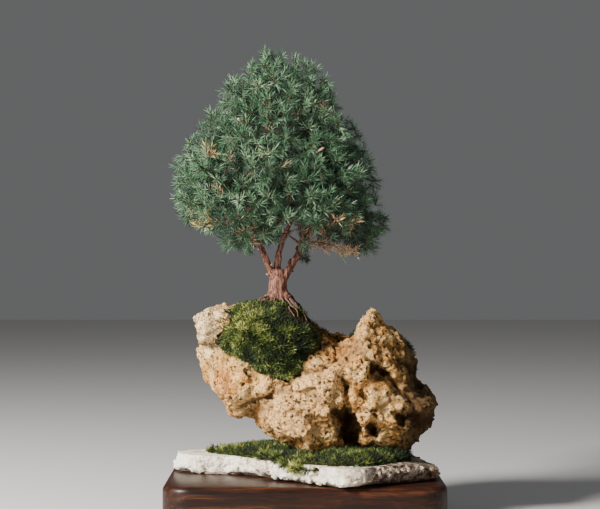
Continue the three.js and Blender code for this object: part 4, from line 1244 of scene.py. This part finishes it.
def makeMoss():
    tree = mossTree()
    leaf = bladeMesh("moss_leaf", mossLeaf)
    finishes = {"Leaf": leaf, "Leaf Finish": mossLeafFinish(), "Bed Finish": mossBedFinish()}
    for bed in mossBeds:
        piece = remeshed(mergedCopy(bed["node"], bed["name"]), bedVoxel, 1)
        if bed["node"] == "moss_mat":
            shapedMat(piece)
        neighbours = surfaceOf(*(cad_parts[name] for name in bed["neighbours"]))
        markOpenSide(piece, neighbours, bed["bare"], bed["bright"])
        grownBy(piece, tree, {**bed["look"], **finishes, "Keep Bed": True})
        dressed(piece, bed["node"])
    makeLedgeMoss(tree, finishes)
    bpy.data.objects.remove(leaf)


makeMoss()
print("moss done")


# Trunk, limbs and branches: fibrous bark

barkLook = {"Fibre Size": 2.3 * mm, "Fibre Depth": 1.6 * mm, "Plate Size": 6.5 * mm, "Plate Depth": 1.0 * mm,
            "Flute Size": 6.5 * mm, "Flute Depth": 2.6 * mm, "Fork": 290 * mm, "Crown Base": 345 * mm}
collar = {"low": 278, "high": 302, "rounds": 14}  # heights between which the fork is smoothed
barkVoxel = 0.95 * mm
# the trunk's fullness: its axis, how far from it a point still counts as trunk, and rows of height and factor
trunkGirth = {"axis": (-32, 0), "reach": 17,
              "rows": [(250, 1.0), (262, 1.14), (278, 1.12), (290, 1.0), (304, 1.0), (312, 1.0)]}
barkTones = [(0.33, (0.018, 0.008, 0.006)), (0.42, (0.095, 0.037, 0.026)), (0.53, (0.205, 0.090, 0.064)),
             (0.70, (0.39, 0.215, 0.155))]
barkColours = {"crack": (0.030, 0.012, 0.009), "red": (0.27, 0.105, 0.055), "darkFoot": (0.055, 0.040, 0.022),
               "flareShade": (0.030, 0.018, 0.010)}
# painted shade on the right root
rootFlareShade = {"at": (-8, 0, 256), "radius": 9 * mm, "soft": 10 * mm}  # dark bark on the right root


def alongGrain(tree, place, share):  # the place squeezed in height, so that textures run up and down
    return calcVector(tree, "MULTIPLY", stirred(tree, place, 14 * mm, 5 * mm), (1.0, 1.0, share))


def barkTree():
    tree, given, out = newTree("fibrous bark", {label: float for label in barkLook})
    place, normal = placeAndNormal(tree)
    fibres = noiseAt(tree, alongGrain(tree, place, 0.16), given["Fibre Size"], 3, 0.6)
    fibres = centred(tree, fibres, given["Fibre Depth"])
    chance = chanceOf(tree, cellsAt(tree, alongGrain(tree, place, 0.28), given["Plate Size"]))
    plates = centred(tree, chance, given["Plate Depth"])
    full = fromTo(tree, heightOver(tree, place, given["Crown Base"]), -15 * mm, 15 * mm, 1.0, 0.25)
    flutes = noiseAt(tree, alongGrain(tree, place, 0.1), given["Flute Size"], 1)
    flutes = centred(tree, flutes, given["Flute Depth"])
    underFork = fromTo(tree, heightOver(tree, place, given["Fork"]), -14 * mm, 4 * mm, 1.0, 0.35)
    flutes = calc(tree, "MULTIPLY", flutes, underFork)
    bark = store(tree, given["Geometry"], "plate", chance)
    height = calc(tree, "MULTIPLY", total(tree, fibres, plates, flutes), full)
    tree.links.new(raised(tree, bark, normal, height), out["Geometry"])
    return tree


def barkFinish():
    material, tree, shader = newMaterial("peeling bark", 0.8, 0.3)
    place = objectPlace(tree)
    fibres = noiseAt(tree, alongGrain(tree, place, 0.13), 1.9 * mm, 4, 0.65)
    colour = ramp(tree, fibres, barkTones)
    # dark cracks run up between broad smooth plates
    cracks = noiseAt(tree, alongGrain(tree, place, 0.12), 6 * mm, 2, 0.5)
    cracks = fromTo(tree, calc(tree, "ABSOLUTE", calc(tree, "SUBTRACT", cracks, 0.5)), 0.0, 0.035, 0.85, 0.0)
    colour = mixed(tree, cracks, colour, barkColours["crack"])
    reddish = mixed(tree, 0.5, colour, barkColours["red"])
    colour = mixed(tree, attributeOf(tree, "plate"), colour, reddish, 0.5)
    # the bark is darker towards the foot of the trunk
    darkFoot = fromTo(tree, heightOf(tree, place), 255 * mm, 268 * mm, 0.6, 0.0)
    colour = mixed(tree, darkFoot, colour, barkColours["darkFoot"])
    # painted shade darkens the right root
    flareShade = sphereMask(tree, place, Vector(rootFlareShade["at"]) * mm, rootFlareShade["radius"], rootFlareShade["soft"])
    colour = mixed(tree, flareShade, colour, barkColours["flareShade"], 0.85)
    painted(tree, shader, colour)
    bumped(tree, shader, calc(tree, "SUBTRACT", fibres, cracks), 0.8 * mm)
    return material


def fuller(piece, girth):  # scales the trunk about its axis, by height
    places = vertexValues(piece.data, "co")
    out = places[:, :2] - np.array(girth["axis"]) * mm
    factor = np.interp(places[:, 2] / mm, *zip(*girth["rows"]))
    factor = np.where(np.linalg.norm(out, axis=1) < girth["reach"] * mm, factor, 1.0)
    places[:, :2] += out * (factor - 1)[:, None]
    setPlaces(piece, places)


def smoothedBetween(piece, low, high, rounds):  # evens out a join
    group = piece.vertex_groups.new(name="join")
    group.add([v.index for v in piece.data.vertices if low * mm < v.co.z < high * mm], 1.0, "REPLACE")
    smooth = piece.modifiers.new("smooth", "SMOOTH")
    smooth.iterations = rounds
    smooth.factor = 0.5
    smooth.vertex_group = group.name
    settled(piece)


def makeTrunk():
    trunk = remeshed(mergedCopy("trunk", "barked_trunk"), barkVoxel, 1)
    fuller(trunk, trunkGirth)
    smoothedBetween(trunk, collar["low"], collar["high"], collar["rounds"])
    grownBy(trunk, barkTree(), barkLook)
    trunk.data.materials.append(barkFinish())
    dressed(trunk, "trunk")


# Small woody things: strips of bark round the right limb, pruned stubs, fine roots

rightLimb = [((-29, 0, 280), 6.2), ((-20, -1, 294), 4.8), ((-11, -3, 308), 4.3), ((-5, -4, 320), 4.2),
             ((-1, -4, 332), 4.0), ((-1, -3, 346), 3.7), ((10, -1, 374), 3.2)]
barkStrips = {"from": 0.2, "to": 0.92, "pitch": 19, "radius": 0.6, "lift": 1.1, "apart": 1.7, "parts": 8,
              "steps": 4}
# start, end and radius of each cut twig
prunedStubs = [((-70, -62, 466), (-77, -76, 470), 1.5), ((14, -68, 432), (21, -84, 436), 1.4),
               ((-42, -3, 288), (-46, -5, 290), 1.0), ((-52, -4, 318), (-56, -7, 320), 1.0),
               ((-40, -5, 300), (-39, -8, 303), 1.1)]
fineRoots = [
    [(-24, -9, 262), (-20, -16, 258), (-16, -22, 252), (-15, -27, 245)],
    [(-22, -7, 262), (-17, -12, 259), (-12, -17, 252), (-9, -21, 244)],
    [(-42, -9, 264), (-50, -17, 262), (-58, -25, 257), (-63, -33, 250)],
    [(-40, -10, 262), (-46, -20, 260), (-52, -30, 254), (-54, -38, 246)],
    [(-36, -12, 262), (-36, -22, 259), (-40, -33, 252), (-43, -42, 245)],
    [(-28, -12, 261), (-25, -22, 257), (-27, -32, 250)],
    [(-24, 6, 261), (-17, 11, 257), (-12, 15, 249)], [(-42, 8, 262), (-52, 14, 259), (-62, 16, 252)],
]
# roots that lie on the mound, X and Y along each
drapedRoots = [
    [(-22, -11), (-14, -26), (-9, -42), (-8, -56)], [(-20, -8), (-9, -20), (-1, -34), (2, -50)],
    [(-19, -4), (-6, -10), (4, -22), (8, -36)], [(-24, -14), (-20, -30), (-18, -48), (-12, -60)],
    [(-18, 0), (-4, 0), (8, -6), (14, -18)], [(-42, -12), (-52, -24), (-58, -40), (-57, -52)],
]
# a root that lies on the mound is dropped onto it from a height
rootLook = {"parts": 6, "radii": (1.3, 0.4), "lift": 0.9, "from": 300, "elseAt": 250}
woodyLooks = {
    "bark_strips": {"sides": 7, "dark": (0.022, 0.010, 0.007), "light": (0.13, 0.055, 0.035)},
    "pruned_stubs": {"sides": 12, "dark": (0.16, 0.080, 0.048), "light": (0.46, 0.29, 0.19)},
    "fine_roots": {"sides": 7, "dark": (0.050, 0.027, 0.017), "light": (0.23, 0.135, 0.088)},
}


def smoothLine(corners, parts):  # an even curve through the corners
    line = []
    for i in range(len(corners) - 1):
        before, start = corners[max(i - 1, 0)], corners[i]
        end, after = corners[i + 1], corners[min(i + 2, len(corners) - 1)]
        for n in range(parts):
            t = n / parts
            curve = (2 * before - 5 * start + 4 * end - after) * t * t
            twist = (3 * start - before - 3 * end + after) * t ** 3
            line.append(0.5 * (2 * start + (end - before) * t + curve + twist))
    return line + [corners[-1]]


def tubeMesh(name, tubes, sides):  # tubes: a line of points with the radius at each
    points, faces = [], []
    for line, radii in tubes:
        across = (line[1] - line[0]).orthogonal().normalized()
        for i, (point, radius) in enumerate(zip(line, radii)):
            along = (line[min(i + 1, len(line) - 1)] - line[max(i - 1, 0)]).normalized()
            across = (across - along * across.dot(along)).normalized()
            up = along.cross(across)
            first = len(points)
            for n in range(sides):
                angle = n / sides * math.tau
                points.append(point + radius * (math.cos(angle) * across + math.sin(angle) * up))
            if i:
                for n in range(sides):
                    beside = (n + 1) % sides
                    faces.append((first - sides + n, first - sides + beside, first + beside, first + n))
        last = len(points)
        start = last - sides * len(line)
        faces += [tuple(reversed(range(start, start + sides))), tuple(range(last - sides, last))]
    mesh = bpy.data.meshes.new(name)
    mesh.from_pydata(points, [], faces)
    return mesh


def stripLine(shift):  # a line that winds round the right limb, this far up from the first one
    spine = smoothLine([Vector(point) * mm for point, radius in rightLimb], barkStrips["parts"])
    radii = np.interp(np.linspace(0, len(rightLimb) - 1, len(spine)), range(len(rightLimb)),
                      [radius for point, radius in rightLimb]).tolist()
    steps = barkStrips["steps"]
    first, last = (int(barkStrips[key] * (len(spine) - 1)) for key in ("from", "to"))
    line = []
    run = shift * mm
    for i in range(first, last):
        along = spine[i + 1] - spine[i]
        across = Vector((0, 1, 0)).cross(along).normalized()
        up = along.normalized().cross(across)
        for n in range(steps):
            angle = -(run + along.length * n / steps) / (barkStrips["pitch"] * mm) * math.tau
            out = (radii[i] + barkStrips["lift"]) * mm * (math.cos(angle) * across + math.sin(angle) * up)
            line.append(spine[i] + along * n / steps + out)
        run += along.length
    return line


def woodyFinish(name, dark, light):
    material, tree, shader = newMaterial(name, 0.75, 0.3)
    patchy = noiseAt(tree, objectPlace(tree), 2.2 * mm, 4, 0.65)
    painted(tree, shader, ramp(tree, patchy, [(0.35, dark), (0.62, light)]))
    return material


def stripTube(shift):
    line = stripLine(shift)
    return line, [barkStrips["radius"] * mm] * len(line)


def stubTube(start, end, radius):
    line = [Vector(start).lerp(Vector(end), share) * mm for share in (0, 0.5, 1)]
    return line, [radius * factor * mm for factor in (1.1, 1, 0.9)]


def rootTube(line):
    return line, (np.linspace(*rootLook["radii"], len(line)) * mm).tolist()


def drapedLine(root, mound):  # a root's line laid down on the mound
    line = smoothLine([Vector((x, y, rootLook["from"])) * mm for x, y in root], rootLook["parts"])
    for point in line:
        below = mound.ray_cast(point, Vector((0, 0, -1)))[0]
        point.z = (below.z if below else rootLook["elseAt"] * mm) + rootLook["lift"] * mm
    return line


def makeWoodyThings():
    roots = [smoothLine([Vector(point) * mm for point in root], rootLook["parts"]) for root in fineRoots]
    mound = surfaceOf(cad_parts["moss_mound"])
    roots += [drapedLine(root, mound) for root in drapedRoots]
    tubes = {
        "bark_strips": [stripTube(shift) for shift in (0, barkStrips["apart"])],
        "pruned_stubs": [stubTube(*stub) for stub in prunedStubs],
        "fine_roots": [rootTube(line) for line in roots],
    }
    for name, look in woodyLooks.items():
        piece = linked(name, tubeMesh(name, tubes[name], look["sides"]))
        piece.data.polygons.foreach_set("use_smooth", [len(p.vertices) == 4 for p in piece.data.polygons])
        piece.data.materials.append(woodyFinish(name.replace("_", " "), look["dark"], look["light"]))
        dressed(piece, None)


makeTrunk()
makeWoodyThings()
print("trunk done")


# Wooden stand, finely rounded

standShape = {
    "width": 327, "depth": 240, "corner": 34, "cornerSteps": 14, "rimSteps": 7,
    "foot": [(0, 7), (6, 7), (7.2, 5.2), (9, 1.9), (10.4, 0.6), (12, 0)],  # height and inset
    "rimFrom": 43, "top": 50, "rimInset": 6,
}


def standProfile():
    profile = list(standShape["foot"])
    for i in range(standShape["rimSteps"] + 1):
        angle = i / standShape["rimSteps"] * math.pi / 2
        height = standShape["rimFrom"] + (standShape["top"] - standShape["rimFrom"]) * math.sin(angle)
        profile.append((height, standShape["rimInset"] * (1 - math.cos(angle))))
    return profile


def standMesh():
    points, faces = [], []
    for height, inset in standProfile():
        for quarter in range(4):
            middleX = (1 if quarter in (0, 3) else -1) * (standShape["width"] / 2 - standShape["corner"])
            middleY = (1 if quarter < 2 else -1) * (standShape["depth"] / 2 - standShape["corner"])
            radius = standShape["corner"] - inset
            for i in range(standShape["cornerSteps"] + 1):
                angle = (quarter + i / standShape["cornerSteps"]) * math.pi / 2
                x, y = middleX + math.cos(angle) * radius, middleY + math.sin(angle) * radius
                points.append(Vector((x, y, height)) * mm)
    around = 4 * (standShape["cornerSteps"] + 1)
    for ring in range(len(points) // around - 1):
        for i in range(around):
            a, b = ring * around + i, ring * around + (i + 1) % around
            faces.append((a, b, b + around, a + around))
    faces += [tuple(reversed(range(around))), tuple(range(len(points) - around, len(points)))]
    mesh = bpy.data.meshes.new("stand")
    mesh.from_pydata(points, [], faces)
    mesh.polygons.foreach_set("use_smooth", [True] * len(mesh.polygons))
    mesh.set_sharp_from_angle(angle=math.radians(35))
    return mesh


woodTones = [(0.36, (0.0062, 0.0021, 0.0010)), (0.50, (0.027, 0.0078, 0.0030)),
             (0.64, (0.080, 0.024, 0.0088))]
woodColours = {"fibre": (0.0085, 0.0030, 0.0016), "end": (0.020, 0.0058, 0.003)}


def woodFinish():
    material, tree, shader = newMaterial("polished dark wood", 0.42, 0.22)
    place = calcVector(tree, "MULTIPLY", stirred(tree, objectPlace(tree), 60 * mm, 8 * mm), (0.045, 1.0, 1.0))
    grain = noiseAt(tree, place, 7 * mm, 6, 0.66)
    colour = ramp(tree, grain, woodTones)
    fibres = noiseAt(tree, place, 1.3 * mm, 3, 0.6)
    colour = mixed(tree, fromTo(tree, fibres, 0.40, 0.56, 0.6, 0.0), colour, woodColours["fibre"])
    facing = acrossOf(tree, addNode(tree, "ShaderNodeNewGeometry").outputs["Normal"])
    end = fromTo(tree, calc(tree, "ABSOLUTE", facing), 0.6, 0.95, 0.0, 0.7)
    colour = mixed(tree, end, colour, woodColours["end"])
    painted(tree, shader, colour)
    shader.inputs["Coat Weight"].default_value = 0.08
    shader.inputs["Coat Roughness"].default_value = 0.2
    return material


soilTones = [(0.35, (0.010, 0.007, 0.004)), (0.65, (0.050, 0.034, 0.020))]


def soilFinish():
    material, tree, shader = newMaterial("potting soil", 1.0, 0.1)
    patchy = noiseAt(tree, objectPlace(tree), 4 * mm, 5, 0.7)
    painted(tree, shader, ramp(tree, patchy, soilTones))
    bumped(tree, shader, patchy, 1.2 * mm)
    return material


stand = linked("polished_stand", standMesh())
stand.data.materials.append(woodFinish())
dressed(stand, "stand")
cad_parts["soil"].material_slots[0].material = soilFinish()
print("stand and soil done")


# Camera and stage

view = {"place": (-0.0056, -2.0, 0.3134), "turn": (math.radians(90), 0, 0), "lens": 100, "sensor": 36}
lights = {
    "key light": {"place": (-1.52, -1.2, 1.12), "target": (0, 0, 0.28), "size": 0.5, "power": 154,
                  "colour": (1, 0.965, 0.91)},
    "fill light": {"place": (1.5, -1.3, 0.8), "target": (0, 0, 0.3), "size": 1.0, "power": 5,
                   "colour": (0.88, 0.94, 1)},
}
studio = {"colour": (0.80, 0.81, 0.82, 1), "strength": 0.16}
floorLook = {"half": 6, "roughness": 0.8, "colour": (0.66, 0.65, 0.64, 1)}

camera = linked("camera", bpy.data.cameras.new("camera"))
camera.location = view["place"]
camera.rotation_euler = view["turn"]
camera.data.lens = view["lens"]
camera.data.sensor_width = view["sensor"]
bpy.context.scene.camera = camera

for name, look in lights.items():
    light = bpy.data.lights.new(name, "AREA")
    light.shape = "DISK"
    light.size = look["size"]
    light.energy = look["power"]
    light.color = look["colour"]
    lamp = linked(name, light)
    lamp.location = look["place"]
    away = Vector(look["target"]) - Vector(look["place"])
    lamp.rotation_euler = away.to_track_quat("-Z", "Y").to_euler()

world = bpy.data.worlds.new("studio")
world.use_nodes = True
background = world.node_tree.nodes["Background"]
background.inputs["Color"].default_value = studio["colour"]
background.inputs["Strength"].default_value = studio["strength"]
bpy.context.scene.world = world

floorMesh = bpy.data.meshes.new("floor")
corners = [(x * floorLook["half"], y * floorLook["half"], 0) for x, y in ((-1, -1), (1, -1), (1, 1), (-1, 1))]
floorMesh.from_pydata(corners, [], [(0, 1, 2, 3)])
floorMaterial = newMaterial("pale floor", floorLook["roughness"])[0]
floorShader = floorMaterial.node_tree.nodes["Principled BSDF"]
floorShader.inputs["Base Color"].default_value = floorLook["colour"]
floorMesh.materials.append(floorMaterial)
linked("floor", floorMesh)
